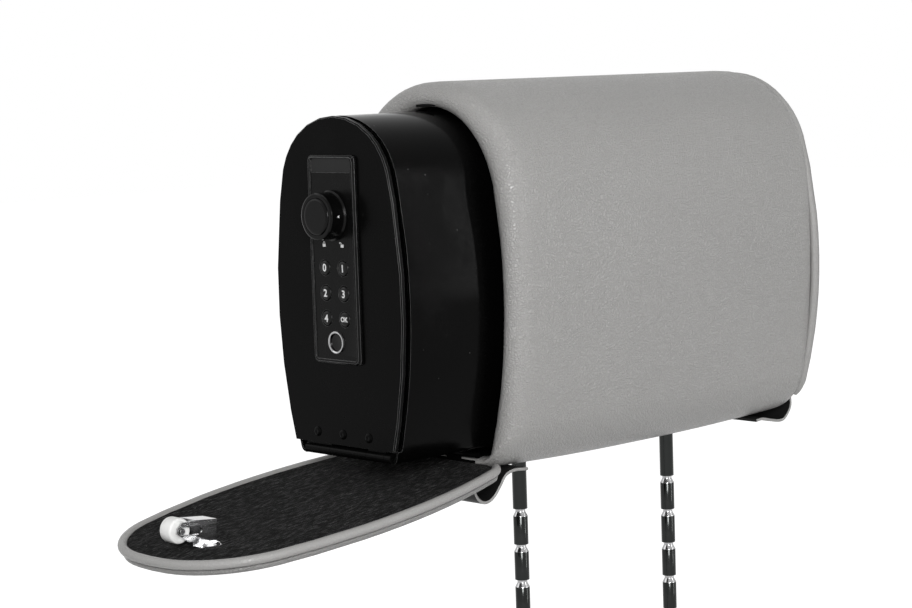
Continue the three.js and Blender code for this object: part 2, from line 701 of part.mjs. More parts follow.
piece("bracket_screw", screw, brightSteel(), leftFlap);

const rollerHalf = catchHalf - CATCH_SHEET - 0.5;
piece(
  "roller_axle",
  rodY(AXLE_R, -catchHalf - 0.7, catchHalf + 0.7, -ROLLER_L, ROLLER_H, 12),
  brightSteel(),
  bracket,
);
const rollerProfile = [
  [AXLE_R + GAP, -rollerHalf], [ROLLER_R - 1, -rollerHalf], [ROLLER_R, -rollerHalf + 1],
  [ROLLER_R, rollerHalf - 1], [ROLLER_R - 1, rollerHalf], [AXLE_R + GAP, rollerHalf], [AXLE_R + GAP, -rollerHalf],
].map(([r, y]) => new THREE.Vector2(r, y));
piece(
  "roller",
  new THREE.LatheGeometry(rollerProfile, 24).translate(-ROLLER_L, 0, ROLLER_H),
  whiteNylon(),
  bracket,
);

// Leather loops: the strip that joins each flap to the pad's underside hangs slack when its flap is down
const LOOP_HALF_WIDTH = 50;
function strip(points, steps = 22) {
  const curve = new THREE.CatmullRomCurve3(points.map(([x, z]) => new THREE.Vector3(x, z, 0)), false, "centripetal");
  const edges = [[], []];
  for (let i = 0; i <= steps; i++) {
    const p = curve.getPointAt(i / steps);
    const t = curve.getTangentAt(i / steps);
    edges[0].push([p.x - (t.y * LEATHER) / 2, p.y + (t.x * LEATHER) / 2]);
    edges[1].unshift([p.x + (t.y * LEATHER) / 2, p.y - (t.x * LEATHER) / 2]);
  }
  const shape = new THREE.Shape(edges.flat().map(([x, z]) => new THREE.Vector2(x, z)));
  return new THREE.ExtrudeGeometry(shape, { depth: 2 * LOOP_HALF_WIDTH, bevelEnabled: false })
    .rotateX(Math.PI / 2)
    .translate(0, LOOP_HALF_WIDTH, 0);
}
const underPad = (x) => [x, underside(x) - GAP - LEATHER / 2];
const LOOP_DROP = 17.6; // how far the left loop hangs
const FAR_LOOP_DROP = 4.7;
const FAR_LOOP_START = 4.3; // beyond the right slot plate
const underFlap = leatherBottom - GAP - LEATHER / 2;
const flapPoint = (u, h) => [
  -LEFT_AXIS - u * Math.cos(rad(FLAP_DROOP)) - h * Math.sin(rad(FLAP_DROOP)),
  FLAP_AXIS_UP - u * Math.sin(rad(FLAP_DROOP)) + h * Math.cos(rad(FLAP_DROOP)),
];
const nose = -LEFT_RIM.nose;
// The slack part of the left loop, as shares of its drop
const slack = [
  [0.85, 0.16], [0.57, 0.49], [0.256, 0.83], [-0.04, 0.99], [-0.3, 1], [-0.57, 0.85], [-0.73, 0.6], [-0.83, 0.4],
].map(([along, down]) => [nose + along * LOOP_DROP, -down * LOOP_DROP]);
piece(
  "leather_loop_left",
  strip([
    underPad(nose + 2 * LOOP_DROP), underPad(nose + 1.25 * LOOP_DROP), ...slack,
    ...[1.08, 1.42, 1.88].map((share) => flapPoint(share * LOOP_DROP, underFlap)),
  ]),
  leather(),
);
const outsideFlap = RIGHT_AXIS - leatherBottom + GAP + LEATHER / 2;
const farStart = postX[1] + SLOT_PLATE_REACH + FAR_LOOP_START;
const farTurn = [[-2.55, 0.68], [-0.85, 1], [0.55, 0.94], [1.5, 0.3]].map(([along, down]) => [
  RIGHT_RIM.nose + along * FAR_LOOP_DROP,
  -down * FAR_LOOP_DROP,
]);
piece(
  "leather_loop_right",
  strip([
    underPad(farStart), underPad(farStart + 1.4 * FAR_LOOP_DROP), ...farTurn,
    ...[0.94, 2.55, 6].map((share) => [outsideFlap, share * FAR_LOOP_DROP]),
  ]),
  leather(),
);

// The safe's box
const shellFront = faceX + DOOR_PLATE + DOOR_GAP;
const shellBack = backX - BACK_PLATE - GAP;
const lipIn = -SAFE_SHEET - GAP;
const hingeAxisX = faceX + BARREL_SETBACK;
const hingeAxisZ = FLOOR_WALL + BARREL_R + 0.1;
const frameX = hingeAxisX + BARREL_R + RUN + LEAF + GAP;
const HINGE_LEFT = 39;
const HINGE_RIGHT = -42;
// The shell's wall between two depths; its cheeks run forward under the door's lower edge beside the hinge
const shellWall = (x0, x1) =>
  loft(
    [safeRing(x0, -SAFE_SHEET), safeRing(x0, 0), safeRing(x1, 0), safeRing(x1, -SAFE_SHEET)],
    true,
  );
const cheekFront = faceX + DOOR_PLATE + 2 * GAP;
piece(
  "safe_shell",
  cut(
    join(
      shellWall(shellFront, shellBack),
      common(
        shellWall(cheekFront, shellFront + 1),
        block(faceX, shellFront + 1, -padHalfDepth, padHalfDepth, 0, FLOOR_WALL + DOOR_FOOT - GAP),
      ),
    ),
    block(faceX, frameX, HINGE_RIGHT - 1, HINGE_LEFT + 1, FLOOR_WALL - 1, FLOOR_WALL + SAFE_SHEET + 0.5),
  ),
  blackSteel(),
);
piece(
  "safe_front_frame",
  loft(
    [
      safeRing(frameX, -FRAME_LIP),
      safeRing(frameX, lipIn),
      safeRing(frameX + 1.5, lipIn),
      safeRing(frameX + 1.5, -FRAME_LIP),
    ],
    true,
  ),
  blackSteel(),
);
const EAR_HALF = 9;
piece(
  "safe_back_plate",
  join(
    safePlate(backX - BACK_PLATE, backX, 0),
    block(backX - BACK_PLATE, backX, -EAR_HALF, EAR_HALF, nutTop + 0.5 + GAP, FLOOR_WALL + 4),
  ),
  blackSteel(),
);
const safeFloor = FLOOR_WALL + SAFE_SHEET;
const LINER = 3;
const LINER_HALF = 38;
piece(
  "safe_liner",
  block(frameX + 1.5 + GAP, shellBack - GAP, -LINER_HALF, LINER_HALF, safeFloor + GAP, safeFloor + GAP + LINER),
  felt(),
);

// Door hinge: knuckles in turn on the door and on the box, from the +Y end
const knuckles = [
  [HINGE_LEFT, 15, "door"],
  [15, -19.5, "box"],
  [-19.5, -36, "door"],
  [-36, HINGE_RIGHT, "box"],
];
const boxLeafX = frameX - GAP - LEAF;
const doorBottom = FLOOR_WALL + DOOR_FOOT;
const doorBack = faceX + DOOR_PLATE;
const doorLeafX = doorBack + GAP;
const barrels = (owner, web) =>
  knuckles
    .filter(([, , on]) => on === owner)
    .map(([y1, y0]) =>
      cut(
        join(rodY(BARREL_R, y0 + GAP / 2, y1 - GAP / 2, hingeAxisX, hingeAxisZ, 20), web(y0 + GAP / 2, y1 - GAP / 2)),
        rodY(PIN_R + GAP, y0 - 1, y1 + 1, hingeAxisX, hingeAxisZ, 12),
      ),
    );
piece(
  "box_hinge_leaf",
  join(
    block(boxLeafX, boxLeafX + LEAF, HINGE_RIGHT + 0.5, HINGE_LEFT - 0.5, safeFloor + GAP, doorBottom + 0.2),
    ...barrels("box", (y0, y1) =>
      block(hingeAxisX + 2, boxLeafX + 0.5, y0, y1, safeFloor + GAP, hingeAxisZ + 1.6),
    ),
  ),
  blackSteel(),
);
piece(
  "hinge_pin",
  rodY(PIN_R, HINGE_RIGHT, HINGE_LEFT, hingeAxisX, hingeAxisZ, 12),
  brightSteel(),
);
const rivetZ = doorBottom + RIVET_RISE;
const rivetHole = (y, r) => rodX(r, faceX - 5, faceX + 15, y, rivetZ, 12);
const rivetYs = [RIVET_PITCH, 0, -RIVET_PITCH];
piece(
  "door_hinge_leaf",
  cut(
    join(
      block(
        doorLeafX, doorLeafX + LEAF, HINGE_RIGHT + 1, HINGE_LEFT - 1,
        hingeAxisZ + BARREL_R + 0.8, doorBottom + LEAF_HEIGHT - 1,
      ),
      ...barrels("door", (y0, y1) =>
        block(doorLeafX, doorLeafX + LEAF, y0, y1, hingeAxisZ + 2, doorBottom + 2),
      ),
    ),
    ...rivetYs.map((y) => rivetHole(y, 1.9)),
  ),
  blackSteel(),
);

// Door plate, inner panel and rivets
const bezelTop = safeTop - BEZEL_DROP;
const bezelZ = bezelTop - BEZEL_HEIGHT / 2;
const bezelFront = faceX - BEZEL_PROUD;
const bezelSeat = faceX - GAP;
const BODY_INSET = 6;
const bodyWidth = BEZEL_WIDTH - BODY_INSET;
const bodyHeight = BEZEL_HEIGHT - BODY_INSET;
const moduleHole = (clear) =>
  panelX(bodyWidth + 2 * clear, bodyHeight + 2 * clear, 3, faceX - 2, faceX + 12, bezelZ);
piece(
  "door_plate",
  cut(
    loft([
      safeRing(faceX, -DOOR_CHAMFER),
      safeRing(faceX + DOOR_CHAMFER, 0),
      safeRing(doorBack, 0),
    ]),
    block(faceX - 1, doorBack + 1, -padHalfDepth, padHalfDepth, 0, doorBottom),
    moduleHole(RUN),
    ...rivetYs.map((y) => rivetHole(y, 1.9)),
  ),
  blackSteel(),
);
const INNER_PANEL = 1.5;
const panelBottom = doorBottom + LEAF_HEIGHT;
piece(
  "door_inner_panel",
  cut(
    safePlate(doorLeafX, doorLeafX + INNER_PANEL, -4),
    block(faceX - 1, faceX + 12, -padHalfDepth, padHalfDepth, 0, panelBottom),
    moduleHole(RUN),
  ),
  blackPlastic(),
);
rivetYs.forEach((y, i) =>
  piece(
    "door_rivet_" + (i + 1),
    turnedX(
      [[faceX - 1.1, 0], [faceX - 1.1, RIVET_R - 1.2], [faceX - GAP, RIVET_R], [faceX - GAP, 1.6],
        [doorLeafX + LEAF, 1.6], [doorLeafX + LEAF, 0]].reverse(),
      y, rivetZ, 16,
    ),
    blackSteel(),
  ),
);

// Lock module: bezel, name panel left bare, keys, fingerprint reader, board, housing and battery pack
const knobZ = bezelTop - KNOB_DROP;
const fieldX = bezelFront + FIELD_DEPTH;
const bezelBack = faceX + 2.2;
const keyRows = [0, 1, 2].map((row) => bezelTop - KEY_DROP - row * KEY_PITCH_Z);
const sensorZ = bezelTop - SENSOR_DROP;
const keyHoles = keyRows.flatMap((z) =>
  [1, -1].map((s) => rodX(KEY_R + RUN, faceX - 6, faceX + 6, (s * KEY_PITCH_Y) / 2, z, 20)),
);
const PANEL_HEIGHT = 9;
const panelZ = bezelTop - 6.2;
const PANEL_INSET = 3.6;
const nameRecess = panelX(
  BEZEL_WIDTH - 2 * PANEL_INSET, PANEL_HEIGHT, 1, fieldX - 2, fieldX + 0.9, panelZ,
);
piece(
  "lock_bezel",
  cut(
    join(
      loft([
        ...[[bezelFront, 1.2], [bezelFront + 1.2, 0], [bezelSeat, 0]].map(([x, inset]) =>
          rectRing(BEZEL_WIDTH - 2 * inset, BEZEL_HEIGHT - 2 * inset, x, bezelZ),
        ),
      ]),
      panelX(bodyWidth, bodyHeight, 3, bezelSeat - 0.5, bezelBack, bezelZ),
    ),
    panelX(
      BEZEL_WIDTH - 2 * BEZEL_BORDER, BEZEL_HEIGHT - 2 * BEZEL_BORDER, 2.4, bezelFront - 1, fieldX, bezelZ,
    ),
    nameRecess,
    ...keyHoles,
    rodX(SENSOR_RING_R + GAP, faceX - 6, faceX + 6, 0, sensorZ, 28),
    rodX(SHAFT_R + RUN, faceX - 6, faceX + 6, 0, knobZ, 20),
  ),
  blackPlastic(),
);
function rectRing(width, height, x, z) {
  const r = 3;
  return [[1, 1], [1, -1], [-1, -1], [-1, 1]].flatMap(([sy, sz], corner) =>
    [0, 0.5, 1].map((t) => {
      const a = ((1 - corner - t) * Math.PI) / 2;
      return [x, sy * (width / 2 - r) + r * Math.cos(a), z + sz * (height / 2 - r) + r * Math.sin(a)];
    }),
  );
}
piece(
  "bezel_panel",
  panelX(
    BEZEL_WIDTH - 2 * PANEL_INSET - 2 * GAP, PANEL_HEIGHT - 2 * GAP, 1, fieldX + 0.2, fieldX + 0.9 - GAP + 0.1, panelZ,
  ),
  finish(0x2a2b2d, 0.45),
);
const boardX = bezelBack + GAP;
const BOARD_SHEET = 1.6;
piece(
  "keypad_board",
  cut(
    panelX(bodyWidth - 1, bodyHeight - 1, 2, boardX, boardX + BOARD_SHEET, bezelZ),
    rodX(SHAFT_R + RUN, boardX - 1, boardX + 3, 0, knobZ, 20),
  ),
  finish(0x1f4a33, 0.6),
);
const keyFront = bezelFront + 0.2;
const keyBack = boardX - KEY_STROKE - 0.1;
["0", "1", "2", "3", "4", "ok"].forEach((label, i) => {
  const y = ((i % 2 ? -1 : 1) * KEY_PITCH_Y) / 2;
  const z = keyRows[Math.floor(i / 2)];
  piece(
    "key_" + label,
    turnedX(
      [[keyBack, 0], [keyBack, KEY_R], [keyFront + 0.9, KEY_R], [keyFront + 0.25, KEY_R - 1.1], [keyFront, 0]],
      y, z, 20,
    ),
    blackPlastic(),
  );
});
piece(
  "fingerprint_ring",
  turnedX(
    [[boardX - GAP, SENSOR_R + GAP], [boardX - GAP, SENSOR_RING_R], [bezelFront - 0.2, SENSOR_RING_R],
      [bezelFront - 0.5, SENSOR_RING_R - 0.4], [bezelFront - 0.2, SENSOR_R + GAP], [boardX - GAP, SENSOR_R + GAP]],
    0, sensorZ, 28,
  ),
  brightSteel(),
);
piece(
  "fingerprint_sensor",
  turnedX([[boardX - GAP, 0], [boardX - GAP, SENSOR_R], [fieldX, SENSOR_R], [fieldX, 0]], 0, sensorZ, 24),
  finish(0x08090a, 0.15),
);
const housingX = doorLeafX + INNER_PANEL + GAP;
const housingBack = housingX + HOUSING_DEPTH;
const HOUSING_WALL = 2;
const housingWidth = BEZEL_WIDTH;
const housingHeight = BEZEL_HEIGHT + 12;
const housingZ = bezelZ - 1.8;
piece(
  "lock_housing",
  cut(
    panelX(housingWidth, housingHeight, 6, housingX, housingBack, housingZ),
    panelX(
      housingWidth - 2 * HOUSING_WALL, housingHeight - 2 * HOUSING_WALL, 4,
      housingX - 1, housingBack - HOUSING_WALL, housingZ,
    ),
    rodX(SHAFT_R + RUN, housingBack - 4, housingBack + 1, 0, knobZ, 20),
  ),
  blackPlastic(),
);
const PACK_WIDTH = 33;
const PACK_HEIGHT = 52;
piece(
  "battery_pack",
  block(
    housingX + 3, housingBack - HOUSING_WALL - GAP, -PACK_WIDTH / 2, PACK_WIDTH / 2,
    housingZ - housingHeight / 2 + HOUSING_WALL + GAP, housingZ - housingHeight / 2 + HOUSING_WALL + GAP + PACK_HEIGHT,
  ),
  finish(0x2c2f36, 0.5),
);

// Knob, its cap, and the cam that the spindle turns behind the housing
const knobBack = bezelFront - GAP;
const knobFront = knobBack - KNOB_LENGTH;
const SPINDLE_IN = 7;
const CAP_RECESS = 1.2;
piece(
  "knob_grip",
  cut(
    turnedX(
      [[knobBack, 0], [knobBack, KNOB_R + 1.1], [knobBack - 1.2, KNOB_R + 1.1], [knobBack - 2.2, KNOB_R],
        [knobFront + 1, KNOB_R], [knobFront, KNOB_R - 1], [knobFront, KNOB_CAP_R + GAP],
        [knobFront + CAP_RECESS, KNOB_CAP_R + GAP], [knobFront + CAP_RECESS, 0]],
      0, knobZ, 32,
    ),
    rodX(SHAFT_R + GAP, knobBack - SPINDLE_IN, knobBack + 1, 0, knobZ, 20),
  ),
  blackPlastic(),
);
piece(
  "knob_cap",
  turnedX(
    [[knobFront + CAP_RECESS - GAP, 0], [knobFront + CAP_RECESS - GAP, KNOB_CAP_R], [knobFront - 0.1, KNOB_CAP_R],
      [knobFront - 0.6, KNOB_CAP_R - 0.5], [knobFront - 0.6, 0]],
    0, knobZ, 32,
  ),
  blackPlastic(),
);
const camX = housingBack + RUN;
const CAM_SHEET = 2;
piece(
  "lock_cam",
  join(
    rodX(SHAFT_R, knobBack - SPINDLE_IN + GAP, camX + CAM_SHEET, 0, knobZ, 20),
    rodX(CAM_WIDTH / 2, camX, camX + CAM_SHEET, 0, knobZ, 20),
    block(camX, camX + CAM_SHEET, -CAM_WIDTH / 2, CAM_WIDTH / 2, knobZ - CAM_REACH, knobZ),
  ),
  brightSteel(),
);
// The strike is a tab on the box's +Y wall that the cam swings in behind
const STRIKE_TAB = 1.6;
const CAM_BITE = 4.5;
piece(
  "lock_strike",
  common(
    safePlate(camX - RUN - STRIKE_TAB, camX - RUN, lipIn),
    block(camX - 10, camX, CAM_REACH - CAM_BITE, padHalfDepth, knobZ - 12, knobZ + 12),
  ),
  blackSteel(),
);

export default carSafe;
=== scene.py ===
"""A car safe built into a grey leather headrest: the steel safe slid out, the padded flap folded down."""
import json
import math

import bmesh
import bpy
from mathutils import Matrix, Vector, noise

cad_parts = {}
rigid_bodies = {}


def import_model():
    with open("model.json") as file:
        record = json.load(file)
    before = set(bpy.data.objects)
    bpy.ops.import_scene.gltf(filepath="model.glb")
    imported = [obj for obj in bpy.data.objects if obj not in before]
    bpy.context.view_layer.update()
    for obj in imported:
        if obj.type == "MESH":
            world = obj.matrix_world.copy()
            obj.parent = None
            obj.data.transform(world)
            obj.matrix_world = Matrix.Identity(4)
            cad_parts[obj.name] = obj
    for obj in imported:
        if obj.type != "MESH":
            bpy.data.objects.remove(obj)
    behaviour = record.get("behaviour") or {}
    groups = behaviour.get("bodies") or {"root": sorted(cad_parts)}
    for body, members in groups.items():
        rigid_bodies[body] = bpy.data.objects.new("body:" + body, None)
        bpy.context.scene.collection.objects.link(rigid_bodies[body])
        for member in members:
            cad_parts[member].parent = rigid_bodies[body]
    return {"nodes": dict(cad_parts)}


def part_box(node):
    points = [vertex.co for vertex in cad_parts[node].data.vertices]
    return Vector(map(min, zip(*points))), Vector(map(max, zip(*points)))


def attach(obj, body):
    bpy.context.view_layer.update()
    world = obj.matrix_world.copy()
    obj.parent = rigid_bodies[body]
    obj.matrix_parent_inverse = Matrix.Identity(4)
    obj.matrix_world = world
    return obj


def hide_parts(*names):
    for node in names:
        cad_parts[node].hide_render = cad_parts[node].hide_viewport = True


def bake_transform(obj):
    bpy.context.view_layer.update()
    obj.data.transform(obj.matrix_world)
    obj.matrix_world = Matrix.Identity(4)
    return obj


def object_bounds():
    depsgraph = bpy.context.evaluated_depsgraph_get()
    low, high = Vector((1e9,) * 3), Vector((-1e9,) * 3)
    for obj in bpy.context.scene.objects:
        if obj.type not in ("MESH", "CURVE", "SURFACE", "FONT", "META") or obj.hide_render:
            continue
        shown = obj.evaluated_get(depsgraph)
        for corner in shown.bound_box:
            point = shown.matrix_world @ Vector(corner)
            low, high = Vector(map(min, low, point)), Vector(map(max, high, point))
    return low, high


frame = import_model()
cad_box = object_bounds()
nodes = frame["nodes"]
MM = 0.001


# Camera: the photograph's place, direction and field of view
def look():
    yaw, pitch, roll = math.radians(46.25), math.radians(5.96), math.radians(-1.91)
    ahead = Vector((math.cos(yaw) * math.cos(pitch), math.sin(yaw) * math.cos(pitch), -math.sin(pitch)))
    level = Vector((math.sin(yaw), -math.cos(yaw), 0))
    up = level.cross(ahead)
    right = math.cos(roll) * level + math.sin(roll) * up
    up = math.cos(roll) * up - math.sin(roll) * level
    camera = bpy.data.cameras.new("camera")
    camera.sensor_width = 36
    camera.lens = 88.7
    eye = bpy.data.objects.new("camera", camera)
    bpy.context.collection.objects.link(eye)
    facing = Matrix((right, up, -ahead)).transposed().to_4x4()
    eye.matrix_world = Matrix.Translation((-1.1433, -1.0586, 0.2575)) @ facing
    bpy.context.scene.camera = eye


look()


# Shader helpers
class Shader:
    """One node material, built a node at a time."""

    def __init__(self, name, **values):
        self.material = bpy.data.materials.new(name)
        self.material.use_nodes = True
        self.tree = self.material.node_tree
        self.surface = self.tree.nodes["Principled BSDF"]
        for key, value in values.items():
            self.surface.inputs[key.replace("_", " ")].default_value = value
        self.place = self.add("ShaderNodeTexCoord").outputs["Object"]

    def add(self, kind, inputs=None, **settings):
        node = self.tree.nodes.new(kind)
        for key, value in settings.items():
            setattr(node, key, value)
        for key, value in (inputs or {}).items():
            self.put(node.inputs[key], value)
        return node

    def put(self, socket, value):
        if isinstance(value, bpy.types.NodeSocket):
            self.tree.links.new(value, socket)
        else:
            socket.default_value = value

    def stretched(self, scale):
        return self.add("ShaderNodeMapping", {"Vector": self.place, "Scale": scale}).outputs["Vector"]

    def noise(self, scale, detail=3, rough=0.55, place=None):
        inputs = {"Vector": place or self.place, "Scale": scale, "Detail": detail, "Roughness": rough}
        return self.add("ShaderNodeTexNoise", inputs).outputs["Fac"]

    def cells(self, scale, feature="F1", out="Distance", place=None):
        inputs = {"Vector": place or self.place, "Scale": scale}
        return self.add("ShaderNodeTexVoronoi", inputs, feature=feature).outputs[out]

    def map(self, value, low, high, to_low=0.0, to_high=1.0):
        inputs = {"Value": value, "From Min": low, "From Max": high, "To Min": to_low, "To Max": to_high}
        return self.add("ShaderNodeMapRange", inputs).outputs["Result"]

    def math(self, operation, a, b=0.0):
        return self.add("ShaderNodeMath", {0: a, 1: b}, operation=operation).outputs["Value"]

    def mix(self, factor, a, b):
        node = self.add("ShaderNodeMix", data_type="RGBA")
        self.put(node.inputs[0], factor)
        self.put(node.inputs[6], a)
        self.put(node.inputs[7], b)
        return node.outputs[2]

    def bump(self, height, distance, strength=1.0, normal=None):
        inputs = {"Height": height, "Distance": distance, "Strength": strength}
        if normal:
            inputs["Normal"] = normal
        return self.add("ShaderNodeBump", inputs).outputs["Normal"]

    def set(self, **links):
        for key, value in links.items():
            self.put(self.surface.inputs[key.replace("_", " ")], value)
        return self.material


def grey(v, tint=(1, 1, 1)):
    return (v * tint[0], v * tint[1], v * tint[2], 1)


WARM = (1.0, 0.985, 0.965)


def leather_look(name, level, grain=1.0):
    s = Shader(name)
    wander = s.add("ShaderNodeMix", data_type="VECTOR")
    warp = s.add("ShaderNodeTexNoise", {"Vector": s.place, "Scale": 260, "Detail": 2}).outputs["Color"]
    s.put(wander.inputs[0], 0.0035)
    s.put(wander.inputs[4], s.place)
    s.put(wander.inputs[5], warp)
    pebble = s.map(s.cells(500, "DISTANCE_TO_EDGE", "Distance", wander.outputs[1]), 0.0, 0.25)
    creases = s.noise(190, 4, 0.6, s.stretched((1, 1, 3.2)))
    normal = s.bump(s.noise(14, 2, 0.5), 0.002, 0.12)
    normal = s.bump(creases, 0.0008, 0.3 * grain, normal)
    normal = s.bump(pebble, 0.0005, 0.7 * grain, normal)
    normal = s.bump(s.noise(1900, 3, 0.6), 0.0001, 0.6 * grain, normal)
    tone = s.mix(s.map(s.noise(12, 2), 0.3, 0.7), grey(level * 0.98, WARM), grey(level * 1.02, WARM))
    # The grooves between the pebbles are darkened: painted shade in the grain's hollows.
    tone = s.mix(s.map(pebble, 0.0, 0.5, 0.3 * grain, 0.0), tone, grey(level * 0.6, WARM))
    rough = s.map(pebble, 0.0, 1.0, 0.48, 0.32)
    return s.set(Base_Color=tone, Roughness=rough, Normal=normal)


def coated_look(name, level, rough, specular, grain=0.4, dust=1.0):
    """Satin black powder coat, with settled dust and a few rubbed spots."""
    s = Shader(name, Specular_IOR_Level=specular)
    orange_peel = s.noise(1150, 2, 0.5)
    normal = s.bump(orange_peel, 0.00005, grain)
    normal = s.bump(s.noise(34, 3), 0.0006, 0.05, normal)
    speck_size = s.cells(150)
    speck_pick = s.cells(150, "F1", "Color")
    chosen = s.map(s.add("ShaderNodeSeparateColor", {"Color": speck_pick}).outputs[0], 0.8, 0.86)
    speck = s.math("MULTIPLY", s.map(speck_size, 0.05, 0.09, 1.0, 0.0), chosen)
    fine_dust = s.map(s.noise(900, 2, 0.7), 0.68, 0.8, 0.0, 0.35)
    smear = s.map(s.noise(22, 4, 0.6), 0.5, 0.72)
    film = s.math("MULTIPLY", fine_dust, smear)
    tone = s.mix(s.map(s.noise(9, 3), 0.3, 0.7), grey(level * 0.85), grey(level * 1.2))
    tone = s.mix(s.math("MULTIPLY", s.math("MAXIMUM", speck, film), 0.45 * dust), tone, grey(0.22, WARM))
    roughness = s.map(s.math("ADD", smear, s.noise(220, 2)), 0.3, 1.5, rough - 0.05, rough + 0.1)
    return s.set(Base_Color=tone, Roughness=roughness, Normal=normal)


def plastic_look(name, level, rough, specular=0.4, tint=(1, 1, 1), grain=0.35):
    s = Shader(name, Specular_IOR_Level=specular)
    normal = s.bump(s.noise(2100, 2, 0.6), 0.00003, grain)
    tone = s.mix(s.map(s.noise(60, 3), 0.3, 0.7), grey(level * 0.9, tint), grey(level * 1.1, tint))
    wear = s.map(s.noise(120, 4, 0.6), 0.4, 0.75, rough - 0.04, rough + 0.1)
    return s.set(Base_Color=tone, Roughness=wear, Normal=normal)


def metal_look(name, level, rough, along=(1, 1, 1), scratch=0.3, tint=(1, 1, 1.01)):
    s = Shader(name, Metallic=1.0)
    lines = s.noise(900, 3, 0.6, s.stretched(along))
    haze = s.noise(45, 4, 0.6)
    normal = s.bump(lines, 0.00002, scratch)
    tone = s.mix(s.map(haze, 0.3, 0.75), grey(level * 0.86, tint), grey(level, tint))
    roughness = s.map(s.math("ADD", haze, lines), 0.6, 1.5, rough - 0.05, rough + 0.12)
    return s.set(Base_Color=tone, Roughness=roughness, Normal=normal)


def woven_look(name, level, pitch=1.3):
    """Black woven lining: ribs and a finer crossing thread, tufts drawn out along the ribs, and lint."""
    s = Shader(name, Specular_IOR_Level=0.02, Sheen_Weight=0.015, Sheen_Roughness=0.5)
    split = s.add("ShaderNodeSeparateXYZ", {"Vector": s.place})
    turn = 2 * math.pi / (pitch * MM)
    wobble = s.math("MULTIPLY", s.noise(160, 2), 2.2)
    along = s.math("ADD", s.math("MULTIPLY", split.outputs["X"], turn), wobble)
    across = s.math("ADD", s.math("MULTIPLY", split.outputs["Y"], turn * 1.25), wobble)
    weave = s.map(s.math("MULTIPLY", s.math("SINE", along), s.math("SINE", across)), -1.0, 1.0)
    drawn_out = s.add("ShaderNodeMapping", {"Vector": s.place, "Rotation": (0, 0, math.radians(-46)),
                                            "Scale": (0.35, 1.5, 1)})
    tufts = s.map(s.noise(420, 4, 0.85, drawn_out.outputs["Vector"]), 0.45, 0.7)
    normal = s.bump(weave, 0.0003, 0.7)
    normal = s.bump(tufts, 0.0005, 0.6, normal)
    lint_pick = s.add("ShaderNodeSeparateColor", {"Color": s.cells(210, "F1", "Color")}).outputs[1]
    lint = s.math("MULTIPLY", s.map(s.cells(210), 0.05, 0.1, 1.0, 0.0), s.map(lint_pick, 0.86, 0.9))
    # Thread tops and tufts are painted far lighter than the grooves: painted sheen on the fibres and painted
    # shade between them.
    lit = s.math("MULTIPLY", s.map(weave, 0.0, 1.0, 0.45, 1.0), s.math("POWER", tufts, 1.5))
    tone = s.mix(lit, grey(level * 0.25), grey(level * 20))
    tone = s.mix(s.math("MULTIPLY", lint, 0.6), tone, grey(0.4))
    return s.set(Base_Color=tone, Roughness=0.9, Normal=normal)


def foam_look(name):
    s = Shader(name, Specular_IOR_Level=0.2)
    pores = s.cells(900)
    # The pore pits are darker: painted shade in the pores.
    tone = s.mix(s.map(pores, 0.1, 0.6), (0.42, 0.34, 0.16, 1), (0.72, 0.63, 0.38, 1))
    return s.set(Base_Color=tone, Roughness=0.95, Normal=s.bump(pores, 0.0006, 0.8))


def board_look(name):
    s = Shader(name, Specular_IOR_Level=0.5)
    tracks = s.map(s.cells(420, "DISTANCE_TO_EDGE"), 0.02, 0.05)
    tone = s.mix(tracks, (0.05, 0.2, 0.09, 1), (0.01, 0.06, 0.025, 1))
    return s.set(Base_Color=tone, Roughness=0.35, Normal=s.bump(tracks, 0.00008, 0.4))


LEATHER_LEVEL = 0.34
leather = leather_look("pad_leather", LEATHER_LEVEL)
piping_leather = leather_look("piping_leather", LEATHER_LEVEL * 0.95, 0.5)
# A darker copy of the pad's leather for the flaps' skins: painted shade, as they face down.
flap_leather = leather_look("flap_leather", LEATHER_LEVEL * 0.68)
loop_leather = leather_look("loop_leather", LEATHER_LEVEL * 0.9, 0.5)
strap_back = coated_look("strap_back", 0.012, 0.5, 0.12, 0.8, 1.6)
door_coat = coated_look("door_coat", 0.0018, 0.26, 0.035, 0.4, 1.6)
shell_coat = coated_look("shell_coat", 0.001, 0.15, 0.035, 0.25, 0.5)
# A light grey for the bevelled edges of black parts: painted highlight along the edges.
painted_edge_highlight = plastic_look("painted_edge_highlight", 0.16, 0.3, 0.5)
# A lighter grey for the bezel's bevelled edges: painted highlight along the edges.
painted_bezel_highlight = plastic_look("painted_bezel_highlight", 0.05, 0.3, 0.5)
hinge_coat = coated_look("hinge_coat", 0.002, 0.3, 0.035, 0.4, 0.6)
bezel_plastic = plastic_look("bezel_plastic", 0.004, 0.24, 0.07)
panel_plastic = plastic_look("panel_plastic", 0.02, 0.45, 0.08)
key_plastic = plastic_look("key_plastic", 0.004, 0.22, 0.14)
knob_plastic = plastic_look("knob_plastic", 0.0025, 0.14, 0.1)
inner_plastic = plastic_look("inner_plastic", 0.006, 0.5, 0.1)
nylon = plastic_look("nylon", 0.82, 0.38, 0.5, (1, 1, 0.985), 0.3)
pack_plastic = plastic_look("pack_plastic", 0.03, 0.45, 0.35, (0.9, 0.95, 1.1))
white_ink = plastic_look("white_ink", 0.8, 0.5, 0.3, (1, 1, 1), 0.2)
lens = plastic_look("lens", 0.003, 0.12, 0.15, (1, 1, 1), 0.05)
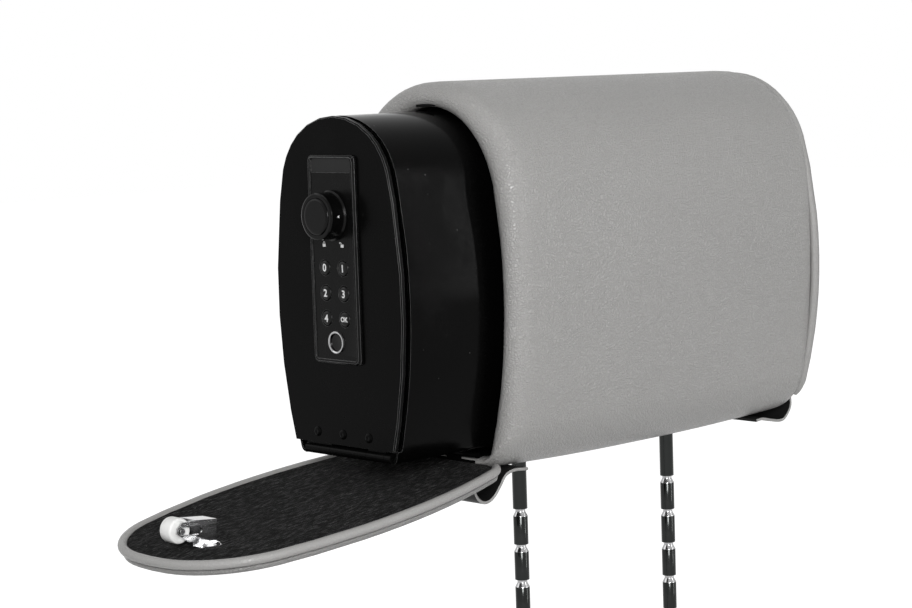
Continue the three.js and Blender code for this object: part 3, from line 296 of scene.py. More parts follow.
# The posts' chrome has a near-black base colour: a painted dark reflection in place of dark surroundings; the
# notch faces keep a lighter chrome.
post_chrome_painted_dark = metal_look("post_chrome_painted_dark", 0.03, 0.1, (1, 1, 0.03), 0.25, (0.97, 1.02, 1.0))
notch_chrome = metal_look("notch_chrome", 0.4, 0.16, (1, 1, 0.05), 0.2)
bracket_steel = metal_look("bracket_steel", 0.6, 0.18, (0.06, 1, 1), 0.35)
ring_chrome = metal_look("ring_chrome", 0.42, 0.14)
lining_weave = woven_look("lining_weave", 0.0085, 2.2)
felt = woven_look("felt", 0.006, 0.9)
foam = foam_look("foam")
circuit = board_look("circuit")


def paint(material, *names):
    for name in names:
        node = nodes[name]
        node.data.materials.clear()
        node.data.materials.append(material)


# Pieces
def add(name, verts, faces, material, body, replaces=(), slot=None, sharp=35, levels=0, place=None):
    """A mesh piece, from points in millimetres, riding on a body."""
    mesh = bpy.data.meshes.new(name)
    place = place or Matrix()
    mesh.from_pydata([place @ (Vector(v) * MM) for v in verts], [], faces)
    mesh.update()
    mesh.polygons.foreach_set("use_smooth", [True] * len(mesh.polygons))
    if sharp:
        mesh.set_sharp_from_angle(angle=math.radians(sharp))
    piece = bpy.data.objects.new(name, mesh)
    bpy.context.collection.objects.link(piece)
    for one in material if isinstance(material, (list, tuple)) else [material]:
        mesh.materials.append(one)
    if levels:
        smooth = piece.modifiers.new("smooth", "SUBSURF")
        smooth.levels = smooth.render_levels = levels
        apply(piece)
    if body:
        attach(piece, body)
    if replaces:
        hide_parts(*([replaces] if isinstance(replaces, str) else replaces))
    return piece


def apply(piece):
    graph = bpy.context.evaluated_depsgraph_get()
    mesh = bpy.data.meshes.new_from_object(piece.evaluated_get(graph))
    piece.modifiers.clear()
    piece.data = mesh


def skin(rings, closed=False, caps=True):
    """Points and faces over rings of equal length; closed joins the last ring to the first."""
    n = len(rings[0])
    verts = [p for ring in rings for p in ring]
    faces = []
    for i in range(len(rings) if closed else len(rings) - 1):
        k = (i + 1) % len(rings)
        for j in range(n):
            m = (j + 1) % n
            faces.append((i * n + j, k * n + j, k * n + m, i * n + m))
    if not closed and caps:
        faces.append(tuple(range(n)))
        faces.append(tuple((len(rings) - 1) * n + j for j in reversed(range(n))))
    return verts, faces


def turned(name, axis, profile, centre, material, body, steps=72, **more):
    """A turned piece from (along, radius) pairs about an axis through centre."""
    along = "XYZ".index(axis)
    others = [k for k in range(3) if k != along]
    rings = []
    for a, r in profile:
        ring = []
        for i in range(steps):
            turn = 2 * math.pi * i / steps
            p = [0, 0, 0]
            p[along] = a
            p[others[0]] = centre[others[0]] + max(r, 0.004) * math.cos(turn)
            p[others[1]] = centre[others[1]] + max(r, 0.004) * math.sin(turn)
            ring.append(tuple(p))
        rings.append(ring)
    verts, faces = skin(rings)
    if along == 1:
        faces = [tuple(reversed(f)) for f in faces]
    return add(name, verts, faces, material, body, **more)


def span(node):
    low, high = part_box(node)
    return [v / MM for v in low], [v / MM for v in high]


def middle(node):
    low, high = span(node)
    return [(a + b) / 2 for a, b in zip(low, high)]


# Outlines, from the crown down one side as [radius, degrees turned] pairs
def outline(bottom, arcs):
    spans, y, z, start = [], 0.0, 0.0, 0.0
    for radius, turn in arcs:
        end = start + math.radians(turn)
        centre = (y - radius * math.sin(start), z - radius * math.cos(start))
        spans.append((centre, radius, end))
        y, z, start = centre[0] + radius * math.sin(end), centre[1] + radius * math.cos(end), end
    lift = bottom - z

    def at(heading, outset=0.0):
        centre, radius, _ = next((s for s in spans if heading <= s[2] + 1e-9), spans[-1])
        reach = max(radius + outset, 0.2)
        return centre[0] + reach * math.sin(heading), centre[1] + lift + reach * math.cos(heading)

    return at


HEADINGS = [math.radians(a) for a in (
    *range(0, 84, 6), 84.3, 87, 90, 92.5, 95, 97.5, 100, 104, 108, *range(114, 181, 6))]


def around(shape, outset=0.0):
    side = [shape(a, outset) for a in HEADINGS]
    return side + [(-y, z) for y, z in reversed(side[1:-1])]


pad_shape = outline(0, [[125.9, 4.3], [74.1, 80], [554.6, 15.14], [44.5, 80.56]])
mouth_shape = outline(9.2, [[54.8, 49.1], [71.1, 29.3], [336, 29.4], [5, 72.2]])
safe_shape = outline(16.3, [[57.3, 27.9], [46.6, 49.5], [354.6, 28.38], [5, 74.22]])
flap_shape = outline(5.4, [[117.5, 7.4], [59.8, 66.8], [304.8, 32.9], [15, 72.9]])

# The padded head: leather pulled over moulded foam and turned into each mouth
LEFT_RIM = dict(nose=153, outer=15.5, inner=6, crest=0.63)
RIGHT_RIM = dict(nose=147.3, outer=9, inner=6, crest=0.13)
PAD_HALF_LENGTH = (LEFT_RIM["nose"] + RIGHT_RIM["nose"]) / 2
PAD_UNDERSIDE, PAD_BELLY = 3.1, 5.3
HEM = 14


def underside(x):
    """The belly hangs lowest halfway along and rises to both rims."""
    return PAD_BELLY * abs(x / PAD_HALF_LENGTH) ** 2.5 - PAD_UNDERSIDE


def pad_ring(x, t, inset, puckered=0.0):
    outer, inner = around(pad_shape, -inset), around(mouth_shape, inset)
    ring = []
    for i, ((y0, z0), (y1, z1)) in enumerate(zip(outer, inner)):
        under = max(0.0, (math.degrees(HEADINGS[min(i, len(outer) - i)]) - 115) / 65) ** 2
        z0 += under * underside(x)
        y, z = y0 + (y1 - y0) * t, z0 + (z1 - z0) * t
        if puckered:
            wave = noise.noise((y * 0.09, z * 0.09, x * 0.02)) + 0.5 * noise.noise((y * 0.3, z * 0.3, 4))
            y += puckered * wave * (1 if y > 0 else -1)
            z += puckered * wave * 0.4
        ring.append((x, y, z))
    return ring


def rim_rings(side, rim, inset, steps, puckered=0.0):
    rings = []
    for k in range(steps + 1):
        a = math.pi / 2 * k / steps
        x = rim["nose"] - rim["outer"] + (rim["outer"] - inset) * math.sin(a)
        rings.append(pad_ring(side * x, rim["crest"] * (1 - math.cos(a)), inset, puckered * math.sin(a) ** 2))
    for k in range(1, steps + 1):
        a = math.pi / 2 * k / steps
        x = rim["nose"] - rim["inner"] + (rim["inner"] - inset) * math.cos(a)
        inward = rim["crest"] + (1 - rim["crest"]) * math.sin(a)
        rings.append(pad_ring(side * x, inward, inset, puckered * math.cos(a)))
    return rings


def pad_rings(inset, hems=True, puckered=0.0):
    left_end, right_end = LEFT_RIM["nose"] - LEFT_RIM["inner"], RIGHT_RIM["nose"] - RIGHT_RIM["inner"]
    over = list(reversed(rim_rings(-1, LEFT_RIM, inset, 7, puckered)))
    over += [pad_ring(x, 0, inset) for x in range(-124, 135, 12)]
    over += rim_rings(1, RIGHT_RIM, inset, 5)
    if hems:
        over.insert(0, pad_ring(-(left_end - HEM), 1, inset))
        over.append(pad_ring(right_end - HEM, 1, inset))
    return over


outside, inside = pad_rings(0, puckered=0.35), pad_rings(1.9)
cover = add("pad_cover", *skin(outside + list(reversed(inside)), closed=True), leather, "headrest",
            "leather_cover", "leather", sharp=0)

foam_outside = pad_rings(2.6, hems=False)
foam_inside = [[(x, y, z) for y, z in around(mouth_shape, 2.6)] for x in range(130, -136, -20)]
foam_piece = add("foam_core", *skin(foam_outside + foam_inside, closed=True), foam, "headrest", "foam_pad",
                 "foam", sharp=0)

# Flaps
DROOP = math.radians(-6.8)
LEFT_AXIS = (-151, 0, 10.6)
RIGHT_AXIS = (146, 0, 10.6)
flap_places = {
    "left": Matrix.Translation(Vector(LEFT_AXIS) * MM) @ Matrix.Rotation(DROOP, 4, "Y"),
    "right": Matrix.Translation(Vector(RIGHT_AXIS) * MM) @ Matrix.Rotation(-math.pi / 2, 4, "Y")
             @ Matrix.Rotation(math.pi, 4, "Z"),
}
PIPING_R, PIPING_H = 2.9, -4.5
LINING_EDGE_H, DISH, DISH_INSET = -3.3, 3.9, 14.5
SEAT_START, SEAT_FULL, SEAT_RISE = 62, 130, 3
FLAP_MIDDLE = 112  # from the hinge axis
LINING_H = LINING_EDGE_H - DISH
LINING, BOARD, SKIN = 0.8, 1.5, 1.3
BOARD_TOP = LINING_H - LINING - 0.2
LEATHER_TOP = BOARD_TOP - BOARD - 0.2
LEATHER_BOTTOM = LEATHER_TOP - SKIN


def flap_ring(h, outset=0.0, shrink=1.0):
    ring = []
    for y, u in around(flap_shape, outset):
        y, u = y * shrink, FLAP_MIDDLE + (u - FLAP_MIDDLE) * shrink
        ring.append((-u, y, h))
    return ring


def dish(t):
    """Depth of the lining under its edge, t from the edge (0) inwards (1)."""
    return DISH * (1 - (1 - t) ** 2.2)


def seated(ring):
    """The lining thickens towards the tip into a level seat for the catch."""
    raised = []
    for x, y, h in ring:
        rise = max(0.0, min(1.0, (-x - SEAT_START) / (SEAT_FULL - SEAT_START)))
        raised.append((x, y, max(h, LINING_H + SEAT_RISE * rise)))
    return raised


def flap_skin(side, body):
    flange_top = PIPING_H - PIPING_R - 0.3
    outer = [flap_ring(LEATHER_BOTTOM, -DISH_INSET, s) for s in (0.08, 0.4, 0.8, 1)]
    outer += [flap_ring(LEATHER_BOTTOM, 0.5), flap_ring(LEATHER_BOTTOM + 0.2, 1.9),
              flap_ring(LEATHER_BOTTOM + 0.8, 2.9), flap_ring(flange_top - 0.9, 3.4),
              flap_ring(flange_top - 0.3, 3.2), flap_ring(flange_top, 2.6), flap_ring(flange_top, 0),
              flap_ring(flange_top - 0.3, -1.5)]
    outer += [flap_ring(LEATHER_TOP, -DISH_INSET, s) for s in (1, 0.8, 0.4, 0.08)]
    # The skin takes the leather darkened as painted shade.
    add("flap_skin_" + side, *skin(outer), flap_leather, body, "flap_leather_" + side, "leather", sharp=50,
        place=flap_places[side])


def flap_edge_roll(side, body):
    ends = [a for a in HEADINGS if a < math.radians(150)]
    path = [(a, -1) for a in reversed(ends[1:])] + [(a, 1) for a in ends]
    tube = []
    for a, way in path:
        ring = []
        for k in range(16):
            b = 2 * math.pi * k / 16
            y, u = flap_shape(a, PIPING_R + PIPING_R * math.cos(b))
            ring.append((-u, way * y, PIPING_H - PIPING_R * math.sin(b)))
        tube.append(ring)
    add("flap_edge_roll_" + side, *skin(tube), piping_leather, body, "flap_piping_" + side, "leather",
        sharp=60, place=flap_places[side])


def flap_cloth(side, body):
    inward = [(-0.3 - 14.2 * t, t) for t in (0, 0.12, 0.3, 0.55, 0.8, 1)]
    shrinks = (0.8, 0.55, 0.3, 0.08)
    lined = [seated(flap_ring(LINING_EDGE_H - dish(t), out)) for out, t in inward]
    lined += [seated(flap_ring(LINING_H, -DISH_INSET, s)) for s in shrinks]
    under = [flap_ring(LINING_EDGE_H - dish(t) - LINING + 0.05, out) for out, t in inward]
    under += [flap_ring(LINING_H - LINING + 0.05, -DISH_INSET, s) for s in shrinks]
    add("flap_cloth_" + side, *skin(lined + list(reversed(under))), lining_weave, body, "flap_lining_" + side,
        "lining", sharp=50, place=flap_places[side])


for side in ("left", "right"):
    flap_skin(side, "flap_" + side)
    flap_edge_roll(side, "flap_" + side)
flap_cloth("left", "flap_left")


# Loops of leather that join each flap to the pad's underside
def smooth_path(points, steps):
    """A centripetal curve through points, at even steps."""
    pts = [Vector(p) for p in points]
    pts = [pts[0] * 2 - pts[1]] + pts + [pts[-1] * 2 - pts[-2]]
    fine = []
    for i in range(1, len(pts) - 2):
        p0, p1, p2, p3 = pts[i - 1:i + 3]
        t = [0.0]
        for a, b in ((p0, p1), (p1, p2), (p2, p3)):
            t.append(t[-1] + max((b - a).length, 1e-6) ** 0.5)
        for k in range(24):
            x = t[1] + (t[2] - t[1]) * k / 24
            mixed = []
            marks = list(zip(t, (p0, p1, p2, p3)))
            for (ta, a), (tb, b) in zip(marks, marks[1:]):
                mixed.append(a * (tb - x) / (tb - ta) + b * (x - ta) / (tb - ta))
            one = mixed[0] * (t[2] - x) / (t[2] - t[0]) + mixed[1] * (x - t[0]) / (t[2] - t[0])
            two = mixed[1] * (t[3] - x) / (t[3] - t[1]) + mixed[2] * (x - t[1]) / (t[3] - t[1])
            fine.append(one * (t[2] - x) / (t[2] - t[1]) + two * (x - t[1]) / (t[2] - t[1]))
    fine.append(pts[-2])
    lengths = [0.0]
    for a, b in zip(fine, fine[1:]):
        lengths.append(lengths[-1] + (b - a).length)
    even = []
    for k in range(steps + 1):
        want = lengths[-1] * k / steps
        i = next((i for i in range(1, len(lengths)) if lengths[i] >= want - 1e-9), len(lengths) - 1)
        f = (want - lengths[i - 1]) / max(lengths[i] - lengths[i - 1], 1e-9)
        even.append(fine[i - 1].lerp(fine[i], f))
    return even, lengths[-1]


LOOP_HALF = 50
under_flap = LEATHER_BOTTOM - 1.3


def under_pad(x):
    return x, underside(x) - 1.3


def flap_point(u, h):
    return (LEFT_AXIS[0] - u * math.cos(DROOP) + h * math.sin(DROOP),
            LEFT_AXIS[2] + u * math.sin(DROOP) + h * math.cos(DROOP))


def loop(name, points):
    path, length = smooth_path(points, 44)
    half = 0.95
    rings = []
    for i, p in enumerate(path):
        ahead = (path[min(i + 1, len(path) - 1)] - path[max(i - 1, 0)]).normalized()
        out = Vector((-ahead.y, ahead.x))
        ring = []
        across = [(-LOOP_HALF, 0.0), (-LOOP_HALF + 0.5, half)] + [(y, half) for y in (-30, -10, 10, 30)]
        across += [(LOOP_HALF - 0.5, half), (LOOP_HALF, 0.0)]
        across += [(y, -h) for y, h in reversed(across[1:-1])]
        for y, h in across:
            q = p + out * h
            ring.append((q.x, y, q.y))
        rings.append(ring)
    strap = add(name, *skin(rings), [strap_back, loop_leather], None, sharp=50)
    for face in strap.data.polygons:
        face.material_index = int(abs(face.center.y) > (LOOP_HALF - 0.6) * MM)
    return strap, length


nose = -LEFT_RIM["nose"]
DROP, FAR_DROP = 17.6, 4.7
left_path = [under_pad(nose + 2 * DROP), under_pad(nose + 1.25 * DROP)]
left_path += [(nose + along * DROP, -down * DROP) for along, down in (
    (0.85, 0.16), (0.57, 0.49), (0.256, 0.83), (-0.04, 0.99), (-0.3, 1), (-0.57, 0.85), (-0.73, 0.6),
    (-0.83, 0.4))]
left_path += [flap_point(share * DROP, under_flap) for share in (1.08, 1.42, 1.88)]
far = RIGHT_RIM["nose"]
outside_flap = RIGHT_AXIS[0] - LEATHER_BOTTOM + 1.3
right_path = [under_pad(118.3), under_pad(124.88)]
right_path += [(far + along * FAR_DROP, -down * FAR_DROP) for along, down in (
    (-2.55, 0.68), (-0.85, 1), (0.55, 0.94), (1.5, 0.3))]
right_path += [(outside_flap, share * FAR_DROP) for share in (0.94, 2.55, 6)]
for name, node, path, other, start, end in (
    ("loop_strap_left", "leather_loop_left", left_path, "flap_left", (nose + 15, -3), (nose - 16, -7)),
    ("loop_strap_right", "leather_loop_right", right_path, "flap_right", (far - 10, -3), (far + 11, 6)),
):
    strap, length = loop(name, path)
    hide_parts(node)
    start, end = [(x * MM, 0, z * MM) for x, z in (start, end)]
    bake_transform(strap)


# Turned pieces, finer than their solids
NOTCH_FIRST, NOTCH_PITCH, NOTCH_COUNT = 40.2, 24.5, 5
POST_X = 76


def post(side, x, body):
    low, high = span("post_" + side)
    top, shoulder = high[2], span("slot_plate_" + side)[0][2] - 0.3
    profile = [(low[2], 0), (low[2], 3.6), (low[2] + 0.3, 4.1), (low[2] + 1.1, 4.85), (low[2] + 1.5, 5)]
    for i in reversed(range(NOTCH_COUNT)):
        z = -NOTCH_FIRST - i * NOTCH_PITCH
        profile += [(z - 5, 5), (z - 4.6, 4.8), (z - 2.2, 3.5), (z - 1.9, 3.4), (z - 0.15, 3.4),
                    (z - 0.05, 3.5), (z - 0.05, 4.7), (z + 0.15, 5)]
    profile += [(shoulder - 2.25, 5), (shoulder - 2.2, 6.3), (shoulder - 2, 6.6), (shoulder - 0.2, 6.6),
                (shoulder, 6.4), (shoulder, 4), (top, 4), (top, 0)]
    return turned("post_rod_" + side, "Z", profile, (x, 0, 0), post_chrome_painted_dark, body, 64,
                  replaces="post_" + side, slot="bright_steel", sharp=30)


for side, x, body in (("left", -POST_X, "post_l"), ("right", POST_X, "post_r")):
    rod = post(side, x, body)
    # The notch faces take the lighter chrome, the rest the chrome painted dark.
    rod.data.materials.append(notch_chrome)
    for face in rod.data.polygons:
        z = face.center.z / MM
        r = math.hypot(face.center.x / MM - x, face.center.y / MM)
        if r < 4.95 and -150 < z < -38:
            face.material_index = 1

knob_low, knob_high = span("knob_grip")
knob_front, knob_back = knob_low[0], knob_high[0]
knob_at = middle("knob_grip")
KNOB_R, CAP_R = 14.7, 11.7


def knob():
    steps, flutes = 240, 60
    front, back = knob_front, knob_back
    profile = [(back, 4.3, 0), (back, 15.5, 0), (back - 0.15, 15.75, 0), (back - 1.0, 15.8, 0),
               (back - 1.2, 15.6, 0), (back - 2.0, KNOB_R + 0.1, 0), (back - 2.4, KNOB_R, 0.0),
               (back - 3.0, KNOB_R, 1.0),
               (front + 2.6, KNOB_R, 1.0), (front + 2.0, KNOB_R, 0.0), (front + 0.9, KNOB_R, 0),
               (front + 0.35, KNOB_R - 0.35, 0), (front, KNOB_R - 1, 0), (front, CAP_R + 0.3, 0),
               (front + 0.2, CAP_R, 0), (front + 1.2, CAP_R, 0), (front + 1.2, 0, 0)]
    rings = []
    for a, r, fluted in profile:
        ring = []
        for i in range(steps):
            turn = 2 * math.pi * i / steps
            dip = 0.16 * fluted * (0.5 - 0.5 * math.cos(turn * flutes))
            ring.append((a, knob_at[1] + max(r - dip, 0.004) * math.cos(turn),
                         knob_at[2] + max(r - dip, 0.004) * math.sin(turn)))
        rings.append(ring)
    verts, faces = skin(rings)
    return verts, [tuple(reversed(f)) for f in faces]


add("knob_body", *knob(), knob_plastic, "knob", "knob_grip", "black_plastic", sharp=28)
cap_low, cap_high = span("knob_cap")
cap_face = [(cap_low[0] + a, radius) for a, radius in (
    (0, 0), (0, 9.4), (0, 9.6), (0.12, 10.0), (0.1, 10.6), (0.35, 11.1), (0.7, 11.35))]
turned("knob_face", "X", cap_face + [(cap_high[0], 11.4), (cap_high[0], 0)], knob_at, knob_plastic, "knob", 96,
       replaces="knob_cap", slot="black_plastic", sharp=30)

# A small white pointer on the knob's side
px, pr = (knob_front + knob_back) / 2 - 0.4, KNOB_R + 0.03
pointer = [(px + a, knob_at[1] - d, knob_at[2] + b) for d in (pr - 0.3, pr) for a, b in (
    (-1.1, 0.0), (0.9, 1.0), (0.5, 0.0), (0.9, -1.0))]
pointer_faces = [(3, 2, 1, 0), (4, 5, 6, 7), (0, 1, 5, 4), (1, 2, 6, 5), (2, 3, 7, 6), (3, 0, 4, 7)]
add("knob_pointer", pointer, pointer_faces, white_ink, "knob", sharp=30)

for label in ("0", "1", "2", "3", "4", "ok"):
    low, high = span("key_" + label)
    r = (high[1] - low[1]) / 2
    turned("key_cap_" + label, "X",
           [(low[0] + 0.05, 0), (low[0], r - 2.6), (low[0] + 0.02, r - 1.5), (low[0] + 0.18, r - 0.9),
            (low[0] + 0.5, r - 0.35), (low[0] + 0.95, r - 0.06), (low[0] + 1.3, r), (high[0], r),
            (high[0], 0)],
           middle("key_" + label), key_plastic, "key_%s_body" % label, 64,
           replaces="key_" + label, slot="black_plastic", sharp=30)

ring_low, ring_high = span("fingerprint_ring")
ring_r = (ring_high[1] - ring_low[1]) / 2
ring_profile = [(ring_high[0], ring_r), (ring_low[0] + 0.3, ring_r), (ring_low[0] + 0.08, ring_r - 0.12),
                (ring_low[0], ring_r - 0.35), (ring_low[0] + 0.05, ring_r - 0.75),
                (ring_low[0] + 0.3, ring_r - 1.15), (ring_low[0] + 0.7, ring_r - 1.28),
                (ring_high[0], ring_r - 1.3)]


def hollow(name, profile, centre, material, body, steps=96, **more):
    """A turned ring about an X axis through centre, from a closed (along, radius) profile."""
    rings = []
    for a, r in profile:
        rings.append([(a, centre[1] + r * math.cos(2 * math.pi * i / steps),
                       centre[2] + r * math.sin(2 * math.pi * i / steps)) for i in range(steps)])
    v, f = skin(rings, closed=True)
    return add(name, v, f, material, body, **more)


hollow("reader_ring", ring_profile, middle("fingerprint_ring"), ring_chrome, "door",
       replaces="fingerprint_ring", slot="bright_steel", sharp=30)
low, high = span("fingerprint_sensor")
turned("reader_lens", "X", [(low[0] + 0.25, 0), (low[0] + 0.2, 2.5), (low[0] + 0.06, 4.2), (low[0], 5.0),
                            (low[0] + 0.1, 5.35), (low[0] + 0.4, 5.4), (high[0], 5.4), (high[0], 0)],
       middle("fingerprint_sensor"), lens, "door", 80, replaces="fingerprint_sensor", slot="sensor", sharp=40)

for k in (1, 2, 3):
    low, high = span("door_rivet_%d" % k)
    turned("rivet_%d" % k, "X",
           [(low[0] + 0.25, 0), (low[0] + 0.12, 1.0), (low[0], 1.5), (low[0] + 0.05, 1.9),
            (low[0] + 0.3, 2.5), (low[0] + 0.8, 3.15), (low[0] + 0.8, 1.6), (high[0], 1.6), (high[0], 0)],
           middle("door_rivet_%d" % k), hinge_coat, "door", 48, replaces="door_rivet_%d" % k,
           slot="black_steel", sharp=40)

# Roller, pitched with its bracket
roller_box = span("roller")
half = (roller_box[1][1] - roller_box[0][1]) / 2
centre = middle("roller")
roller_end = [(0, 2.3), (0, 3.4), (0.35, 3.6), (0.35, 5.6), (0, 5.9), (0, 6.5), (0.2, 7.1), (0.6, 7.5),
              (1.2, 7.68)]
roller_profile = [(-half + a, r) for a, r in roller_end] + [(half - a, r) for a, r in reversed(roller_end)]
turns = [2 * math.pi * i / 80 for i in range(80)]
rings = [[(centre[0] + r * math.cos(turn), a, centre[2] + r * math.sin(turn)) for turn in turns]
         for a, r in roller_profile]
verts, faces = skin(rings, closed=True)
add("catch_roller", verts, [tuple(reversed(f)) for f in faces], nylon, "roller_wheel", "roller",
    "white_nylon", sharp=35)


# Marks on the keys: generic numbers, OK, and the open and shut padlocks
def lettering(name, words, size, at, body, heavy=0.012):
    curve = bpy.data.curves.new(name, "FONT")
    curve.body = words
    curve.size = size * MM
    curve.align_x, curve.align_y = "CENTER", "CENTER"
    curve.offset = heavy * size * MM
    curve.extrude = 0.03 * MM
    text = bpy.data.objects.new(name + "_curve", curve)
    bpy.context.collection.objects.link(text)
    graph = bpy.context.evaluated_depsgraph_get()
    mesh = bpy.data.meshes.new_from_object(text.evaluated_get(graph))
    bpy.data.objects.remove(text)
    xs = [v.co.x for v in mesh.vertices]
    ys = [v.co.y for v in mesh.vertices]
    cx, cy = (min(xs) + max(xs)) / 2, (min(ys) + max(ys)) / 2
    facing = Matrix(((0, 0, -1), (-1, 0, 0), (0, 1, 0))).to_4x4()
    for v in mesh.vertices:
        v.co = facing @ (v.co - Vector((cx, cy, 0))) + Vector(at) * MM
    mesh.materials.clear()
    mesh.materials.append(white_ink)
    piece = bpy.data.objects.new(name, mesh)
    bpy.context.collection.objects.link(piece)
    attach(piece, body)
    return piece


for label, size in (("0", 6.6), ("1", 6.6), ("2", 6.6), ("3", 6.6), ("4", 6.6), ("ok", 4.3)):
    low, _ = span("key_" + label)
    c = middle("key_" + label)
    lettering("mark_" + label, label.upper(), size, (low[0] - 0.02, c[1], c[2]), "key_%s_body" % label,
              0.02 if label != "ok" else 0.025)


def padlock(name, at, open_by):
    """A padlock's body and shackle; an open one's shackle stands to the side by open_by, one leg lifted."""
    body = [(-1.25, -1.5), (1.25, -1.5), (1.35, -1.4), (1.35, 0.25), (1.25, 0.35), (-1.25, 0.35),
            (-1.35, 0.25), (-1.35, -1.4)]
    turns = [math.pi * k / 12 for k in range(13)]
    free_foot = 0.75 if open_by else 0.3
    shackle = [(open_by + 1.0, 0.3)] + [(open_by + math.cos(a), 0.75 + math.sin(a)) for a in turns]
    shackle += [(open_by - 1.0, free_foot), (open_by - 0.6, free_foot)]
    shackle += [(open_by + 0.6 * math.cos(a), 0.75 + 0.6 * math.sin(a)) for a in reversed(turns)]
    shackle.append((open_by + 0.6, 0.3))
    n = len(shackle)
    arch_faces = [(j, j + 1, n - 2 - j, n - 1 - j) for j in range(n // 2 - 1)]
    verts, faces = [], []
    for shape, fronts in ((body, [tuple(range(len(body)))]), (shackle, arch_faces)):
        start, n = len(verts), len(shape)
        for depth in (0.0, 0.08):
            verts += [(at[0] - depth, at[1] - right, at[2] + up) for right, up in shape]
        for face in fronts:
            faces.append(tuple(start + j for j in face))
            faces.append(tuple(start + n + j for j in reversed(face)))
        faces += [(start + j, start + n + j, start + n + (j + 1) % n, start + (j + 1) % n) for j in range(n)]
    add(name, verts, faces, white_ink, "door", sharp=30)


MARK_RISE, MARK_HALF_PITCH = 14.6, 8.5
mark_z = middle("key_0")[2] + MARK_RISE
field_x = span("lock_bezel")[0][0] + 0.8 - 0.01
padlock("mark_shut", (field_x, MARK_HALF_PITCH, mark_z), 0)
padlock("mark_open", (field_x, -MARK_HALF_PITCH, mark_z), -1.7)


# The safe's box, rounder than its solid; its cheeks run forward beside the hinge
def block(x0, x1, y0, y1, z0, z1):
    mesh = bpy.data.meshes.new("block")
    mesh.from_pydata([Vector((x, y, z)) * MM for x in (x0, x1) for y in (y0, y1) for z in (z0, z1)], [],
                     [(0, 1, 3, 2), (4, 6, 7, 5), (0, 4, 5, 1), (2, 3, 7, 6), (0, 2, 6, 4), (1, 5, 7, 3)])
    cutter = bpy.data.objects.new("block", mesh)
    bpy.context.collection.objects.link(cutter)
    return cutter


def safe_ring(x, outset=0.0):
    return [(x, y, z) for y, z in around(safe_shape, outset)]


FACE_X = span("door_plate")[0][0]
SHELL_FRONT = FACE_X + 7
SHELL_BACK = span("safe_shell")[1][0]
CHEEK_FRONT = span("safe_shell")[0][0]
SHEET = 1.6
shell_rings = [safe_ring(CHEEK_FRONT, -SHEET), safe_ring(CHEEK_FRONT, 0), safe_ring(SHELL_FRONT, 0)]
shell_rings += [safe_ring(SHELL_FRONT + (SHELL_BACK - SHELL_FRONT) * k / 12, 0) for k in range(1, 13)]
shell_rings += [safe_ring(SHELL_BACK, -SHEET)]
box = add("box_shell", *skin(shell_rings, closed=True), [shell_coat, painted_edge_highlight], None, sharp=0)
for cutter in (block(FACE_X - 2, SHELL_FRONT, -70, 70, 24.5, 260),
               block(FACE_X - 2, span("safe_front_frame")[0][0] + 1.0, -43, 40, 10, 18.4)):
    cutting = box.modifiers.new("cut", "BOOLEAN")
    cutting.operation, cutting.solver, cutting.object = "DIFFERENCE", "EXACT", cutter
round_off = box.modifiers.new("edges", "BEVEL")
round_off.width, round_off.segments, round_off.limit_method = 0.45 * MM, 2, "ANGLE"
# The bevel faces take the light edge material: a painted highlight along the shell's edges.
round_off.material = 1
round_off.angle_limit = math.radians(50)
round_off.harden_normals = True
box.data.set_sharp_from_angle(angle=math.radians(40))
apply(box)
for cutter in [o for o in bpy.data.objects if o.name.startswith("block")]:
    bpy.data.objects.remove(cutter)
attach(box, "safe")
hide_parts("safe_shell")


# Pressed and moulded pieces with their edges eased
def eased(name, node, material, edge, width, body):
    piece = bpy.data.objects.new(name, nodes[node].data.copy())
    bpy.context.collection.objects.link(piece)
    piece.matrix_world = nodes[node].matrix_world.copy()
    piece.data.materials.clear()
    piece.data.materials.append(material)
    piece.data.materials.append(edge)
    work = bmesh.new()
    work.from_mesh(piece.data)
    bmesh.ops.remove_doubles(work, verts=work.verts, dist=0.01 * MM)
    bmesh.ops.dissolve_limit(work, angle_limit=math.radians(0.6), verts=work.verts, edges=work.edges)
    work.to_mesh(piece.data)
    work.free()
    piece.data.polygons.foreach_set("use_smooth", [True] * len(piece.data.polygons))
    piece.data.set_sharp_from_angle(angle=math.radians(25))
    edges = piece.modifiers.new("edges", "BEVEL")
    edges.width, edges.segments, edges.limit_method = width * MM, 3, "ANGLE"
    edges.angle_limit = math.radians(25)
    edges.harden_normals = True
    # The bevel faces take the second material; on the door leaf and bezel it is lighter: a painted highlight
    # along the edges.
    edges.material = 1
    apply(piece)
    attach(piece, body)
    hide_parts(node)
    return piece


for name, node, material, edge, width, body, slot in (
    ("door_leaf", "door_plate", door_coat, painted_edge_highlight, 0.45, "door", "black_steel"),
    ("bezel_frame", "lock_bezel", bezel_plastic, painted_bezel_highlight, 0.3, "door", "black_plastic"),
    ("pressed_bracket", "roller_bracket", bracket_steel, notch_chrome, 0.2, "flap_left", "bright_steel"),
):
    eased(name, node, material, edge, width, body)

# Materials on the solids that stay
paint(shell_coat, "safe_front_frame", "safe_back_plate")
paint(hinge_coat, "base_plate", "box_hinge_leaf", "door_hinge_leaf", "lock_strike")
for side in ("left", "right"):
    paint(hinge_coat, "slot_plate_" + side, "strike_" + side, "hinge_base_" + side, "flap_hinge_leaf_" + side)
paint(panel_plastic, "bezel_panel")
# The glide tray, white nylon, takes the dark plastic: painted shade under the safe.
paint(inner_plastic, "sleeve_housing", "flap_board_left", "catch_block_right", "door_inner_panel",
      "lock_housing", "glide_tray")
paint(pack_plastic, "battery_pack")
paint(bracket_steel, "bracket_screw", "roller_axle", "hinge_pin", "lock_cam", "post_nut_left",
      "post_nut_right")
paint(felt, "flap_board_right", "safe_liner")
paint(circuit, "keypad_board")


